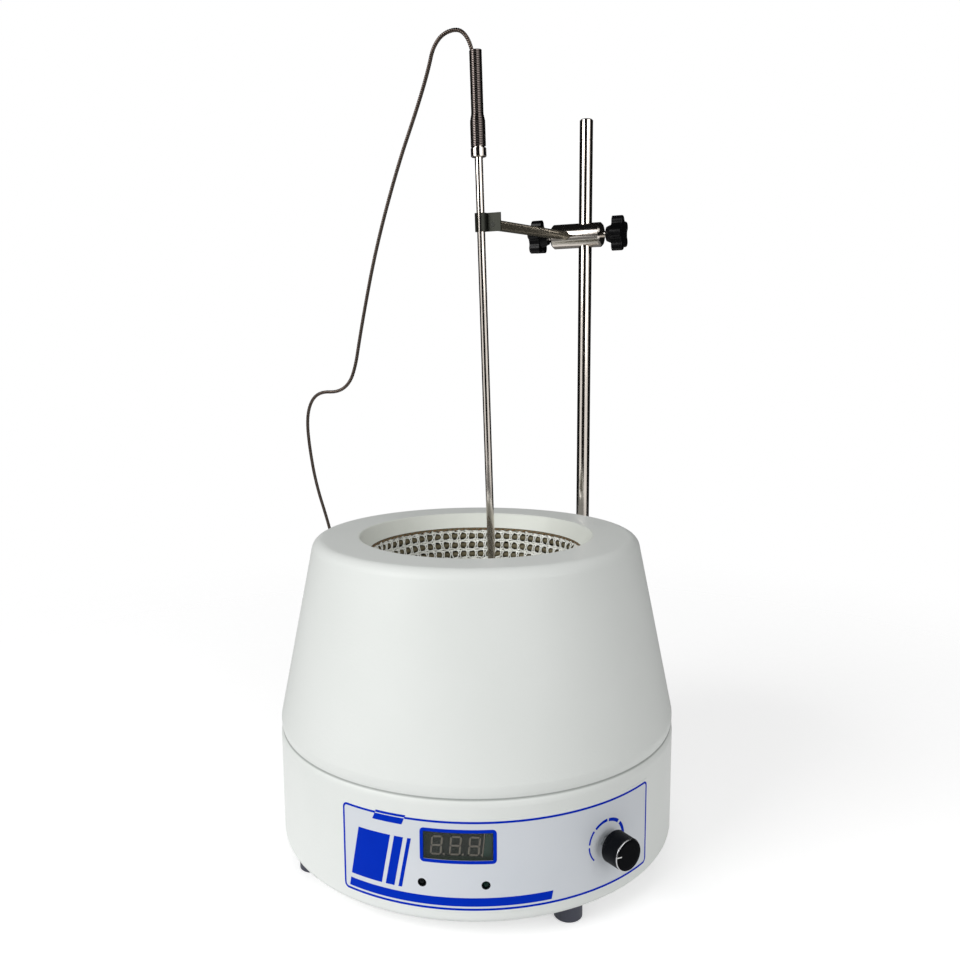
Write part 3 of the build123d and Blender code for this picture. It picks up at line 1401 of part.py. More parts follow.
spring_foot_level = sheath_above_clip + ferrule_length
with BuildPart() as probe_ferrule:
    # Turned collar with a spigot that fills the spring's foot
    with BuildSketch(probe_frame.offset(sheath_above_clip)):
        Circle(ferrule_diameter / 2)
    extrude(amount=ferrule_length)
    chamfer(probe_ferrule.edges().filter_by(GeomType.CIRCLE), length=ferrule_edge)
    with BuildSketch(probe_frame.offset(spring_foot_level)):
        Circle(spring_foot_diameter / 2 - spring_wire - shaft_clearance)
    extrude(amount=ferrule_spigot_length)
    with BuildSketch(probe_frame.offset(sheath_above_clip)):
        Circle(sheath_diameter / 2 + shaft_clearance)
    extrude(amount=sheath_in_ferrule, mode=Mode.SUBTRACT)
    with BuildSketch(probe_frame.offset(sheath_above_clip)):
        Circle(sheath_bore_radius)
    extrude(amount=ferrule_length + ferrule_spigot_length, mode=Mode.SUBTRACT)
finish(probe_ferrule, "probe_ferrule")

with BuildPart() as probe_spring:
    # Close-wound strain relief, wider over its foot
    with BuildSketch(Plane(origin=probe_frame.origin, x_dir=boss_axis, z_dir=-arm_frame.y_dir)):
        with BuildLine():
            foot_radius = spring_foot_diameter / 2
            neck_radius = spring_diameter / 2
            neck_level = spring_foot_level + spring_foot_length + spring_taper_length
            Polyline(
                (foot_radius, spring_foot_level),
                (foot_radius, spring_foot_level + spring_foot_length),
                (neck_radius, neck_level),
                (neck_radius, spring_foot_level + spring_length),
                (neck_radius - spring_wire, spring_foot_level + spring_length),
                (neck_radius - spring_wire, neck_level),
                (foot_radius - spring_wire, spring_foot_level + spring_foot_length),
                (foot_radius - spring_wire, spring_foot_level),
                close=True,
            )
        make_face()
    revolve(axis=Axis(probe_frame.origin, arm_up))
finish(probe_spring, "probe_spring")


def corner_radii(points):
    """Radius for each inner point: 0.45 of the shorter run over the tangent of half the turn."""
    radii = []
    for before, corner, after in zip(points, points[1:], points[2:]):
        run_in = Vector(*corner) - Vector(*before)
        run_out = Vector(*after) - Vector(*corner)
        half_turn = radians(run_in.get_angle(run_out)) / 2
        radii.append(0.45 * min(run_in.length, run_out.length) / tan(half_turn))
    return radii


cable_radii = corner_radii(cable_route)
with BuildPart() as probe_cable:
    # Braided cable, from the spring's mouth to the gland of the plug
    with BuildLine() as cable_line:
        FilletPolyline(*cable_route, radius=cable_radii)
    with BuildSketch(Plane(origin=cable_line.line @ 0, z_dir=cable_line.line % 0)):
        Circle(cable_diameter / 2)
    sweep()
finish(probe_cable, "probe_cable")

cable_length = cable_line.wires()[0].length
print("cable radii", [round(radius, 1) for radius in cable_radii])
print("cable length", round(cable_length, 1), "volume", round(probe_cable.part.volume, 1))
print("cable section by length", round(cable_length * pi * cable_diameter**2 / 4, 1))
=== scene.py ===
import random
from math import ceil, cos, degrees, hypot, pi, radians, sin

import bpy
from mathutils import Matrix, Vector


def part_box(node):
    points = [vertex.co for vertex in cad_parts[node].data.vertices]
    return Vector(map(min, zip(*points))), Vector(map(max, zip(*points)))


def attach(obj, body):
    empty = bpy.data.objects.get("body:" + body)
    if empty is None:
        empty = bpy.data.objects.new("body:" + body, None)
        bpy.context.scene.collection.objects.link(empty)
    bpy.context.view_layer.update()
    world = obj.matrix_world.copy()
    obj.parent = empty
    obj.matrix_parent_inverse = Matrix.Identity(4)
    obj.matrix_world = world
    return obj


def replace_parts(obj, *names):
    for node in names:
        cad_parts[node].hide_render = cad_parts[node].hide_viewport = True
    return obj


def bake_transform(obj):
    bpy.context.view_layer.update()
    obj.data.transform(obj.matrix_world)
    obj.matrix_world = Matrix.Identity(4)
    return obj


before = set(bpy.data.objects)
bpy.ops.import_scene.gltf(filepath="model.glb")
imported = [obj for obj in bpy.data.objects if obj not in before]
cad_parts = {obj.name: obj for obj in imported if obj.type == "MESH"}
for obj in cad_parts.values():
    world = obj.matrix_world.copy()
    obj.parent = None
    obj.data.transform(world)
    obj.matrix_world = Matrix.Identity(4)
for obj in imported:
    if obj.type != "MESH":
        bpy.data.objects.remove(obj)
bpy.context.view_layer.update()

# Electric heating mantle with its stand and probe. Metres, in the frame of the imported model:
# +Z up, the control panel towards -Y. Bearings are in degrees from -Y towards +X.

MM = 0.001


# ================================================================ finishes
class Flow:
    """A value in a tree of nodes: arithmetic on it adds Math nodes."""

    def __init__(self, wiring, socket):
        self.wiring = wiring
        self.socket = socket

    def maths(self, operation, first, second=0.0):
        return self.wiring.node("Math", {"operation": operation}, {0: first, 1: second})

    def __add__(self, other):
        return self.maths("ADD", self, other)

    def __radd__(self, other):
        return self.maths("ADD", other, self)

    def __sub__(self, other):
        return self.maths("SUBTRACT", self, other)

    def __rsub__(self, other):
        return self.maths("SUBTRACT", other, self)

    def __mul__(self, other):
        return self.maths("MULTIPLY", self, other)

    def __rmul__(self, other):
        return self.maths("MULTIPLY", other, self)

    def __pow__(self, other):
        return self.maths("POWER", self, other)

    def __gt__(self, other):
        return self.maths("GREATER_THAN", self, other)

    def __lt__(self, other):
        return self.maths("LESS_THAN", self, other)

    def size(self):
        return self.maths("ABSOLUTE", self)

    def turn_from(self, other):
        return self.maths("ARCTAN2", self, other)


class Wiring:
    """The nodes of a material or of the room's light."""

    def __init__(self, tree):
        self.tree = tree

    def node(self, kind, settings=None, values=None, out=0):
        """A new shader node: its settings first, then its sockets' values or links."""
        made = self.tree.nodes.new("ShaderNode" + kind)
        for name, value in (settings or {}).items():
            setattr(made, name, value)
        for name, value in (values or {}).items():
            if isinstance(value, Flow):
                self.tree.links.new(value.socket, made.inputs[name])
            else:
                made.inputs[name].default_value = value
        return Flow(self, made.outputs[out])

    def connect(self, flow, kind, socket):
        """Links a flow to a socket of a node that the tree came with."""
        self.tree.links.new(flow.socket, self.tree.nodes[kind].inputs[socket])

    def between(self, flow, low, high):
        """flow taken from the range low..high to 0..1, held at its ends."""
        values = {"Value": flow, "From Min": low, "From Max": high}
        return self.node("MapRange", {"clamp": True}, values)

    def eased(self, flow, start, end, low, high):
        """flow taken from the range start..end to low..high, with soft ends."""
        values = {"Value": flow, "From Min": start, "From Max": end, "To Min": low, "To Max": high}
        return self.node("MapRange", {"interpolation_type": "SMOOTHSTEP"}, values)

    def seen_share(self):
        """1 where the camera, a mirror or a glass looks, else 0."""
        share = self.node("LightPath", out="Is Camera Ray")
        rays = share.socket.node.outputs
        for kind in ("Is Glossy Ray", "Is Transmission Ray"):
            share = share.maths("MAXIMUM", share, Flow(self, rays[kind]))
        return share


class Finish(Wiring):
    """One material: a Principled shader with fixed numbers on its sockets, and nodes that vary it."""

    def __init__(self, name, colour, roughness, **fixed):
        self.material = bpy.data.materials.new(name)
        self.material.use_nodes = True
        super().__init__(self.material.node_tree)
        self.shader = self.tree.nodes["Principled BSDF"]
        self.colour = colour
        self.roughness = roughness
        self.shader.inputs["Base Color"].default_value = (*colour, 1)
        self.shader.inputs["Roughness"].default_value = roughness
        for socket, value in fixed.items():
            self.shader.inputs[socket.replace("_", " ")].default_value = value
        self.place = self.node("TexCoord", out="Object")

    def feed(self, socket, flow):
        self.connect(flow, "Principled BSDF", socket)

    def noise(self, scale, detail=2.0, roughness=0.5, where=None):
        """Noise from 0 to 1; scale is in features per metre."""
        values = {"Vector": where or self.place, "Scale": scale, "Detail": detail, "Roughness": roughness}
        return self.node("TexNoise", None, values)

    def axes(self):
        """The place's three numbers, each as a flow."""
        split = self.node("SeparateXYZ", None, {0: self.place}).socket.node
        return [Flow(self, output) for output in split.outputs]

    def stretched(self, scales):
        """The place with each axis scaled, for grain that runs one way."""
        return self.node("VectorMath", {"operation": "MULTIPLY"}, {0: self.place, 1: scales})

    def blend(self, first, second, share):
        """Colour from first to second as share goes from 0 to 1."""
        values = {0: share, 6: self.shade(first), 7: self.shade(second)}
        return self.node("Mix", {"data_type": "RGBA"}, values, out=2)

    def shade(self, colour):
        return colour if isinstance(colour, Flow) else (*colour, 1)

    def tint(self, share, other):
        """Base colour that goes from the finish's own to another as share rises."""
        self.feed("Base Color", self.blend(self.colour, other, share))

    def vary_gloss(self, share, spread):
        """Roughness that goes up and down from the finish's own by spread."""
        self.feed("Roughness", (share - 0.5) * (2 * spread) + self.roughness)

    def relief(self, height, depth, strength=1.0):
        """Bump of a height from 0 to 1 over a depth in metres."""
        values = {"Height": height, "Distance": depth, "Strength": strength}
        self.feed("Normal", self.node("Bump", None, values))


def tone(red, green, blue):
    """Screen colour from 0 to 255 as the renderer's own numbers."""
    return tuple(((c / 255 + 0.055) / 1.055) ** 2.4 if c > 10 else c / 3294.6 for c in (red, green, blue))


# Painted shade in the crease at the joint of the casing's halves: it goes from nothing at the first distance
# from the joint to full at the second.
SEAM_HEIGHT = 101.0 * MM
SEAM_SPREAD = (1.2 * MM, 0.2 * MM)
SEAM_PAINTED_SHADE = tone(166, 170, 167)
# The turned-in lip carries painted shade, a little warm, from its edge to where the shade is full.
LIP_EDGE = (95.0 * MM, 92.0 * MM)
LIP_PAINTED_SHADE = tone(228, 231, 223)
# Painted shade on the walls of the lamps' holes: the film and the casing are dark this far out from the
# middle of a lamp.
LAMP_RIM = 3.0 * MM
HOLE_PAINTED_SHADE = tone(20, 24, 26)
# Edges of the printed frame line: bearings, then heights in millimetres.
FRAME_LINE = (-35.3, 50.3, 24.8, 86.0)
# The spigot at the arm's end, staked through the clip: how far back its dull face starts and ends.
SPIGOT_SPREAD = (1.2 * MM, 0.9 * MM)
SPIGOT_SHADE = tone(48, 49, 45)
# Share of a moulded finish's colour that is left in its darker patches.
PATCH_FADE = 0.82
# How a metal's grain is stretched along X, Y and Z.
EVEN_GRAIN = (1, 1, 1)
UPRIGHT_GRAIN = (1, 1, 0.02)


def lamp_hole_shade(f):
    """Share that is 1 in the two lamps' holes, which run side by side, where shade is painted on their walls.
    """
    x, y, z = f.axes()
    boxes = [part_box(name) for name in ("heat_lamp", "alarm_lamp")]
    middles = [(Vector(low) + Vector(high)) / 2 for low, high in boxes]
    run = (middles[1] - middles[0]).normalized()
    holes = []
    for middle in middles:
        across = x * run.x + y * run.y - middle.dot(run)
        up = z - middle.z
        holes.append((across * across + up * up) ** 0.5 < LAMP_RIM)
    return (holes[0] + holes[1]) * (y < 0)


def painted_casing():
    """Enamel with faint patches, painted shade on the lip and at the joint, and painted shade in the lamps'
    holes.
    """
    f = Finish("casing enamel", tone(233, 236, 233), 0.42, Specular_IOR_Level=0.3)
    x, y, z = f.axes()
    patches = f.between(f.noise(9.0, 3.0, 0.55), 0.35, 0.75) * 0.35
    lip = f.between((x * x + y * y) ** 0.5, *LIP_EDGE)
    seam = f.between((z - SEAM_HEIGHT).size(), *SEAM_SPREAD)
    enamel = f.blend(f.colour, tone(222, 226, 222), patches)
    # Painted shade, a little warm, on the turned-in lip.
    enamel = f.blend(enamel, LIP_PAINTED_SHADE, lip)
    # Painted shade in the crease at the joint.
    enamel = f.blend(enamel, SEAM_PAINTED_SHADE, seam)
    # Painted shade on the walls of the lamps' holes.
    f.feed("Base Color", f.blend(enamel, HOLE_PAINTED_SHADE, lamp_hole_shade(f)))
    f.vary_gloss(f.noise(40.0, 4.0, 0.6), 0.06)
    f.relief(f.noise(520.0, 3.0, 0.55), 0.18 * MM, 0.5)
    return f.material


def moulded(name, colour, roughness, grain=900.0, depth=0.06 * MM, other=None, **fixed):
    """Plain moulded plastic or rubber with a fine grain and faint patches, darker or of another colour."""
    f = Finish(name, colour, roughness, **fixed)
    f.tint(f.between(f.noise(70.0, 3.0), 0.3, 0.8) * 0.5, other or tuple(c * PATCH_FADE for c in colour))
    f.vary_gloss(f.noise(160.0, 3.0), 0.07)
    f.relief(f.noise(grain, 3.0, 0.6), depth, 0.6)
    return f.material


def metal(name, colour, roughness, grain=2600.0, fade=0.84, along=EVEN_GRAIN):
    """Metal with a fine grain, even or drawn out one way; fade is the share of colour left in it."""
    f = Finish(name, colour, roughness, Metallic=1.0)
    lines = f.noise(grain, 2.0, 0.5, f.stretched(along))
    f.tint(f.between(lines, 0.3, 0.7), tuple(c * fade for c in colour))
    f.vary_gloss(f.noise(90.0, 3.0), 0.03)
    f.relief(lines, 0.01 * MM, 0.25)
    return f.material


def arm_steel():
    """Satin bar with the dull face of its staked spigot in front of the clip."""
    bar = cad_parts["probe_arm"]
    low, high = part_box("probe_arm")
    run = Vector((low[0] - high[0], low[1] - high[1], 0)).normalized()
    reach = max(v.co.dot(run) for v in bar.data.vertices)
    f = Finish("satin arm steel", tone(170, 162, 144), 0.22, Metallic=0.8)
    x, y, z = f.axes()
    spigot = f.between(x * run.x + y * run.y, reach - SPIGOT_SPREAD[0], reach - SPIGOT_SPREAD[1])
    satin = f.blend(f.colour, tone(150, 142, 124), f.between(f.noise(900.0), 0.3, 0.7))
    f.feed("Base Color", f.blend(satin, SPIGOT_SHADE, spigot))
    f.vary_gloss(f.noise(90.0, 3.0), 0.04)
    return f.material


def panel_film():
    """Printed silver-grey field inside the frame line, the casing's white outside it, painted shade in the
    lamps' holes.
    """
    f = Finish("panel film", tone(218, 222, 227), 0.42, Specular_IOR_Level=0.3)
    x, y, z = f.axes()
    bearing = x.turn_from(y * -1)
    left, right, low, high = FRAME_LINE
    outside = (z > high * MM) + (z < low * MM) + (bearing > radians(right)) + (bearing < radians(left))
    cloud = f.between(f.noise(24.0, 3.0), 0.3, 0.8)
    printed = f.blend(f.blend(f.colour, tone(213, 218, 224), cloud), tone(232, 235, 233), outside)
    # Painted shade on the walls of the lamps' holes.
    f.feed("Base Color", f.blend(printed, HOLE_PAINTED_SHADE, lamp_hole_shade(f)))
    f.vary_gloss(f.noise(60.0, 3.0), 0.05)
    f.relief(f.noise(1400.0), 0.01 * MM, 0.4)
    return f.material


FINISHES = {
    "enamel": painted_casing(),
    "polished": metal("polished steel", tone(222, 214, 205), 0.12, along=UPRIGHT_GRAIN),
    "arm": arm_steel(),
    "clip": metal("dull clip steel", tone(68, 69, 63), 0.5),
    "zinc": metal("zinc screw steel", tone(178, 180, 182), 0.36, grain=900.0),
    "plate": metal("heat shield plate", tone(170, 172, 172), 0.38, grain=700.0),
    "bracket": metal("cast bracket alloy", tone(150, 152, 154), 0.42, grain=500.0),
    "braid": metal("wound steel sleeve", tone(104, 93, 86), 0.2, grain=900.0, fade=0.7),
    "black": moulded("black plastic", tone(24, 24, 26), 0.4, Specular_IOR_Level=0.25),
    "gloss": moulded("black gloss plastic", tone(14, 14, 16), 0.16, depth=0.01 * MM, Specular_IOR_Level=0.2),
    "rubber": moulded("foot rubber", tone(58, 60, 72), 0.62),
    "star": moulded("clamp knob plastic", tone(11, 11, 13), 0.24, grain=500.0, depth=0.02 * MM,
                    Specular_IOR_Level=0.16),
    "film": panel_film(),
    "blue": moulded("panel blue ink", tone(0, 47, 188), 0.42, grain=1400.0, depth=0.01 * MM,
                    other=tone(0, 43, 178), Specular_IOR_Level=0.03),
    "pane": moulded("smoked pane", tone(70, 75, 70), 0.08, depth=0.004 * MM, Alpha=0.3,
                    Specular_IOR_Level=0.25),
    "dark_lamp": moulded("unlit lamp", tone(14, 18, 18), 0.2, depth=0.004 * MM, Specular_IOR_Level=0.1),
    "green_lamp": moulded("unlit green lamp", tone(14, 38, 32), 0.2, depth=0.004 * MM,
                          Specular_IOR_Level=0.1),
    "green_edge": moulded("green circuit edge", tone(30, 86, 72), 0.4),
    "board": moulded("circuit board", tone(32, 92, 58), 0.4),
    "iron": moulded("transformer iron", tone(96, 92, 88), 0.5),
    "wool": moulded("mineral wool", tone(208, 202, 184), 0.95, grain=500.0, depth=0.6 * MM),
    "nest": moulded("glass sleeving", tone(214, 210, 198), 0.6, grain=1500.0, depth=0.2 * MM),
    "ceramic": moulded("sensor ceramic", tone(226, 222, 212), 0.5),
    "ground": moulded("nest ground cloth", tone(60, 56, 44), 0.85, depth=0.3 * MM),
    "cord": moulded("heater cord sleeving", tone(112, 104, 78), 0.6, grain=1300.0, depth=0.3 * MM,
                    other=tone(74, 66, 46)),
    "yarn": moulded("glass yarn", tone(250, 252, 246), 0.24, grain=2600.0, depth=0.2 * MM,
                    other=tone(226, 224, 212), Specular_IOR_Level=1.0, Coat_Weight=0.8),
    "thread": moulded("brown thread", tone(122, 90, 56), 0.6, grain=2600.0, depth=0.2 * MM),
    "spring": metal("spring wire", tone(124, 115, 111), 0.1, grain=300.0),
    "anodised": moulded("black anodised alloy", tone(6, 8, 13), 0.18, grain=1600.0, depth=0.01 * MM,
                        Specular_IOR_Level=0.08),
    "face": moulded("black knob face", tone(5, 6, 9), 0.3, grain=1600.0, depth=0.01 * MM,
                    Specular_IOR_Level=0.02),
    "cut_edge": metal("cut knob edge", tone(190, 190, 192), 0.18, grain=1400.0),
    "white": moulded("white paint", tone(236, 236, 234), 0.4),
    "segment": moulded("unlit digit segment", tone(190, 178, 164), 0.5),
}

NODE_FINISHES = {
    "enamel": "base_shell upper_shell",
    "nest": "heating_nest",
    "wool": "insulation_bowl",
    "plate": "heat_shield",
    "zinc": "shield_screws foot_screws case_screws board_screws inlet_screws power_board_screws "
            "bracket_screws bracket_set_screw potentiometer_nut potentiometer_spindle triac sensor_socket "
            "sensor_socket_nut sensor_plug plug_ring fuse_link",
    "rubber": "foot_front_right foot_rear_right foot_rear_left foot_front_left",
    "film": "panel_overlay",
    "pane": "display_window",
    "gloss": "display_module temperature_knob power_rocker",
    "dark_lamp": "heat_lamp",
    "green_lamp": "alarm_lamp",
    "board": "control_board power_board terminal_strip",
    "black": "potentiometer_body mains_inlet switch_frame fuse_holder fuse_cap",
    "iron": "transformer",
    "bracket": "heat_sink rod_bracket",
    "polished": "stand_rod boss_head rod_clamp_stud arm_clamp_stud probe_sheath probe_ferrule",
    "arm": "probe_arm",
    "clip": "probe_clip",
    "star": "rod_clamp_knob arm_clamp_knob",
    "braid": "probe_spring probe_cable",
    "ceramic": "sensor_element",
}
for finish_name, node_names in NODE_FINISHES.items():
    for node_name in node_names.split():
        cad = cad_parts[node_name]
        if not cad.material_slots:
            cad.data.materials.append(None)
        for material_slot in cad.material_slots:
            material_slot.material = FINISHES[finish_name]


# ================================================================ mesh helpers
def around(bearing, radius, height):
    """Point at a bearing from the front, a distance from the axis and a height."""
    turn = radians(bearing)
    return Vector((radius * sin(turn), -radius * cos(turn), height))


def form_object(name, points, faces, material):
    """A mesh of one material, in the scene."""
    mesh = bpy.data.meshes.new(name)
    mesh.from_pydata([tuple(p) for p in points], [], faces)
    mesh.materials.append(material)
    made = bpy.data.objects.new(name, mesh)
    bpy.context.scene.collection.objects.link(made)
    return made


def piece(name, points, faces, finish, body, slot, smooth=True):
    """A piece of the object that rides on a body when one is given; the cable is given none."""
    made = form_object(name, points, faces, FINISHES[finish])
    made.data.polygons.foreach_set("use_smooth", [smooth] * len(made.data.polygons))
    if body:
        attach(made, body)
    return made


def frames_along(path):
    """Two directions across a path at each of its points, carried along without twist."""
    last = len(path) - 1
    directions = [(path[min(i + 1, last)] - path[max(i - 1, 0)]).normalized() for i in range(last + 1)]
    side = directions[0].orthogonal().normalized()
    found = []
    for direction in directions:
        side = (side - direction * side.dot(direction)).normalized()
        found.append((side, direction.cross(side)))
    return found


def skin(rings, count, faces, start=0, closed=False):
    """Adds the faces between rings of count points, and the two end faces where the rings don't close."""
    for i in range(rings if closed else rings - 1):
        this = start + i * count
        following = start + (i + 1) % rings * count
        for k in range(count):
            after = (k + 1) % count
            faces.append((this + k, this + after, following + after, following + k))
    if not closed:
        last = start + (rings - 1) * count
        faces.append(tuple(range(start, start + count))[::-1])
        faces.append(tuple(range(last, last + count)))


def tube(path, radii, sides, points, faces, closed=False):
    """Adds a round tube along a path to points and faces. radii is one radius, or one a point."""
    start = len(points)
    for i, (side, up) in enumerate(frames_along(path)):
        radius = radii[i] if isinstance(radii, list) else radii
        for k in range(sides):
            turn = 2 * pi * k / sides
            points.append(path[i] + (side * cos(turn) + up * sin(turn)) * radius)
    skin(len(path), sides, faces, start, closed)


# ================================================================ probe cable
CABLE_RADIUS = 1.5 * MM
CABLE_STEP = 0.25 * MM
ROUTE_STEPS = 24
# The steel strip wound round the cable: its pitch, and the share of the radius that it rises and falls.
SLEEVE_PITCH = 1.5 * MM
SLEEVE_RISE = 0.06
# Route of the cable from inside the spring's mouth, over the arch and down behind the casing to
# the plug, as in the part's source.
CABLE_ROUTE = [
    (0.0014, -0.0256, 0.5975), (-0.0004, -0.0266, 0.6085), (-0.0052, -0.0270, 0.6180),
    (-0.0116, -0.0262, 0.6216), (-0.0220, -0.0242, 0.6186), (-0.0288, -0.0204, 0.6104),
    (-0.0320, -0.0140, 0.6000), (-0.0370, -0.0060, 0.5870), (-0.0450, 0.0040, 0.5680),
    (-0.0570, 0.0170, 0.5410), (-0.0700, 0.0310, 0.5060), (-0.0820, 0.0450, 0.4690),
    (-0.0920, 0.0570, 0.4300), (-0.0990, 0.0660, 0.4000), (-0.1030, 0.0710, 0.3810),
    (-0.1090, 0.0760, 0.3660), (-0.1200, 0.0820, 0.3580), (-0.1380, 0.0950, 0.3580),
    (-0.1480, 0.1020, 0.3500), (-0.1530, 0.1060, 0.3340), (-0.1530, 0.1120, 0.3090),
    (-0.1500, 0.1240, 0.2710), (-0.1420, 0.1390, 0.2310), (-0.1360, 0.1520, 0.1900),
    (-0.1310, 0.1640, 0.1520), (-0.1300, 0.1760, 0.1170), (-0.1330, 0.1850, 0.0880),
    (-0.1330, 0.1885, 0.0670), (-0.1295, 0.1847, 0.0525), (-0.1216, 0.1737, 0.0450),
    (-0.1101, 0.1573, 0.0450),
]
# The cable's stretches from the plug up: name, height where it ends, its own length, the two
# bodies it spans and the heights between which it goes from the one to the other.
CABLE_STRETCHES = (
    ("cable_lower", 0.190, 0.179, "housing", "rod", 0.088, 0.180),
    ("cable_middle", 0.470, 0.331, "rod", "boss", 0.215, 0.460),
    ("cable_upper", 0.568, 0.112, "boss", "arm", 0.478, 0.560),
    ("cable_arch", None, 0.103, "arm", "probe", 0.575, 0.612),
)


def spline_points(route):
    """Points along the smooth line that a route's points control."""
    curve = bpy.data.curves.new("cable_route", "CURVE")
    curve.dimensions = "3D"
    spline = curve.splines.new("NURBS")
    spline.points.add(len(route) - 1)
    for control, place in zip(spline.points, route):
        control.co = (*place, 1)
    spline.order_u = 3
    spline.use_endpoint_u = True
    spline.resolution_u = ROUTE_STEPS
    guide = bpy.data.objects.new("cable_route", curve)
    bpy.context.scene.collection.objects.link(guide)
    line = bpy.data.meshes.new_from_object(guide.evaluated_get(bpy.context.evaluated_depsgraph_get()))
    found = [v.co.copy() for v in line.vertices]
    bpy.data.objects.remove(guide)
    return found


def evenly(path, step):
    """The same line as points a fixed step apart."""
    found = [path[0]]
    carried = 0.0
    for first, second in zip(path, path[1:]):
        length = (second - first).length
        while carried + length >= step:
            share = (step - carried) / length
            first = first.lerp(second, share)
            length = (second - first).length
            carried = 0.0
            found.append(first)
        carried += length
    found.append(path[-1])
    return found


def wound_sleeve(path):
    """Tube along a path whose surface rises over each turn of its wound steel strip."""
    sides = 14
    points, faces = [], []
    tube(path, CABLE_RADIUS, sides, points, faces)
    travelled = 0.0
    for i, (middle, following) in enumerate(zip(path, path[1:] + path[-1:])):
        for k in range(sides):
            turn = 2 * pi * (k / sides + travelled / SLEEVE_PITCH)
            spot = i * sides + k
            points[spot] = middle + (points[spot] - middle) * (1 - SLEEVE_RISE + SLEEVE_RISE * sin(turn))
        travelled += (following - middle).length
    return points, faces


def lay_cable():
    """The cable in its four stretches, which ride on no body."""
    line = evenly(spline_points(CABLE_ROUTE), CABLE_STEP)
    line.reverse()
    start = 0
    for name, end_height, length, lower, upper, low, high in CABLE_STRETCHES:
        stop = len(line) - 1
        if end_height:
            stop = next(i for i in range(start, len(line)) if line[i].z > end_height)
        part = line[start:stop + 1]
        made = piece(name, *wound_sleeve(part), "braid", None, "braid_steel")
        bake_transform(made)
        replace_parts(made, "probe_cable")
        start = stop


lay_cable()


# ================================================================ woven nest
# Millimetres throughout: the bowl's radius and rim, then the rows that its yarn makes down the wall.
NEST_RADIUS = 86.0
NEST_RIM = 236.0
HEM_DEPTH = 3.6
ROW_PITCH = 8.0
ROW_COUNT = 16
CELL_COUNTS = (68, 56, 46, 38, 30, 24, 18, 12, 8, 6)
WIDEST_CELL = 9.2
# How far the cords and the ground cloth's two faces lie behind the bowl's surface, and how far down
# the wall the cloth goes.
CORD_RADIUS = 2.2
CORD_DEPTH = 2.1
CLOTH_FACES = (3.3, 3.9)
CLOTH_REACH = 135.0
# The yarn's radii, how much thicker it is at a knot, and how far the loops bow, pinch and spread.
ROW_YARN, ROW_KNOT = 0.68, 0.3
LOOP_YARN, LOOP_KNOT = 0.6, 0.08
LOOP_BOW, LOOP_PINCH, LOOP_SPREAD = 1.5, 0.62, 1.5
# The rolled hem, how far down its middle lies, and the stitches over it.
HEM_RADIUS = 1.35
HEM_MIDDLE = 1.5
STITCH_COUNT, STITCH_RADIUS, STITCH_SLANT = 104, 0.55, 4.2
LOOSE = random.Random(11)


def below_rim(arc, turn, radius):
    """Point of the bowl: way down its wall, angle round the axis, distance from its centre."""
    dip = arc / NEST_RADIUS
    flat = radius * cos(dip)
    return Vector((flat * cos(turn), flat * sin(turn), NEST_RIM - radius * sin(dip))) * MM


def in_nest(row, turn, radius):
    """Point of the bowl, with the way down its wall in rows below the hem."""
    return below_rim(HEM_DEPTH + row * ROW_PITCH, turn, radius)


def row_radius(row):
    """Distance from the axis to the bowl half way down a row."""
    return NEST_RADIUS * cos((HEM_DEPTH + (row + 0.5) * ROW_PITCH) / NEST_RADIUS)


def cells_in(row):
    """Number of cells round a row: the fewest that are not too wide."""
    girth = 2 * pi * row_radius(row)
    return min(count for count in CELL_COUNTS if girth / count <= WIDEST_CELL or count == CELL_COUNTS[0])


def heater_cords():
    """Sleeved heater cords, one round each row, on the ground cloth behind them."""
    points, faces = [], []
    for row in range(ROW_COUNT):
        steps = cells_in(row) * 3
        ring = []
        for i in range(steps):
            turn = 2 * pi * i / steps
            sway = 0.12 * sin(turn * 7 + row) + 0.1 * sin(turn * 19 + 2 * row)
            ring.append(in_nest(row + 0.5 + sway / ROW_PITCH, turn, NEST_RADIUS + CORD_DEPTH))
        tube(ring, CORD_RADIUS * MM, 8, points, faces, closed=True)
    return points, faces


def ground_cloth():
    """Dark cloth bowl behind the cords, drawn down its inner face and up its outer one."""
    rounds, rows = 96, 40
    points, faces = [], []
    arcs = [min(j * (pi / 2) / rows * NEST_RADIUS, CLOTH_REACH) for j in range(rows + 1)]
    for depth, way in zip(CLOTH_FACES, (arcs, arcs[::-1])):
        for arc in way:
            points += [below_rim(arc, 2 * pi * i / rounds, NEST_RADIUS + depth) for i in range(rounds)]
    skin(2 * len(arcs), rounds, faces, closed=True)
    return points, faces


def row_yarn():
    """Two strands that run round between the rows, thicker where the loops leave them."""
    points, faces = [], []
    for row in range(ROW_COUNT + 1):
        cells = cells_in(max(row - 0.5, 0))
        steps = cells * 8
        for hand in (-1, 1):
            ring, radii = [], []
            for i in range(steps):
                turn = 2 * pi * i / steps
                knot = 0.5 + 0.5 * cos(turn * cells)
                drop = hand * (0.72 + 0.3 * sin(turn * cells + row)) + LOOSE.uniform(-0.22, 0.22)
                drop += 0.5 * sin(turn * 5 + row * 1.7) * sin(turn * 13 + row)
                deep = 0.8 - 0.9 * knot + LOOSE.uniform(-0.2, 0.2)
                ring.append(in_nest(row + drop / ROW_PITCH, turn, NEST_RADIUS + deep))
                radii.append((ROW_YARN + ROW_KNOT * knot ** 2 + LOOSE.uniform(-0.07, 0.07)) * MM)
            tube(ring, radii, 6, points, faces, closed=True)
    return points, faces


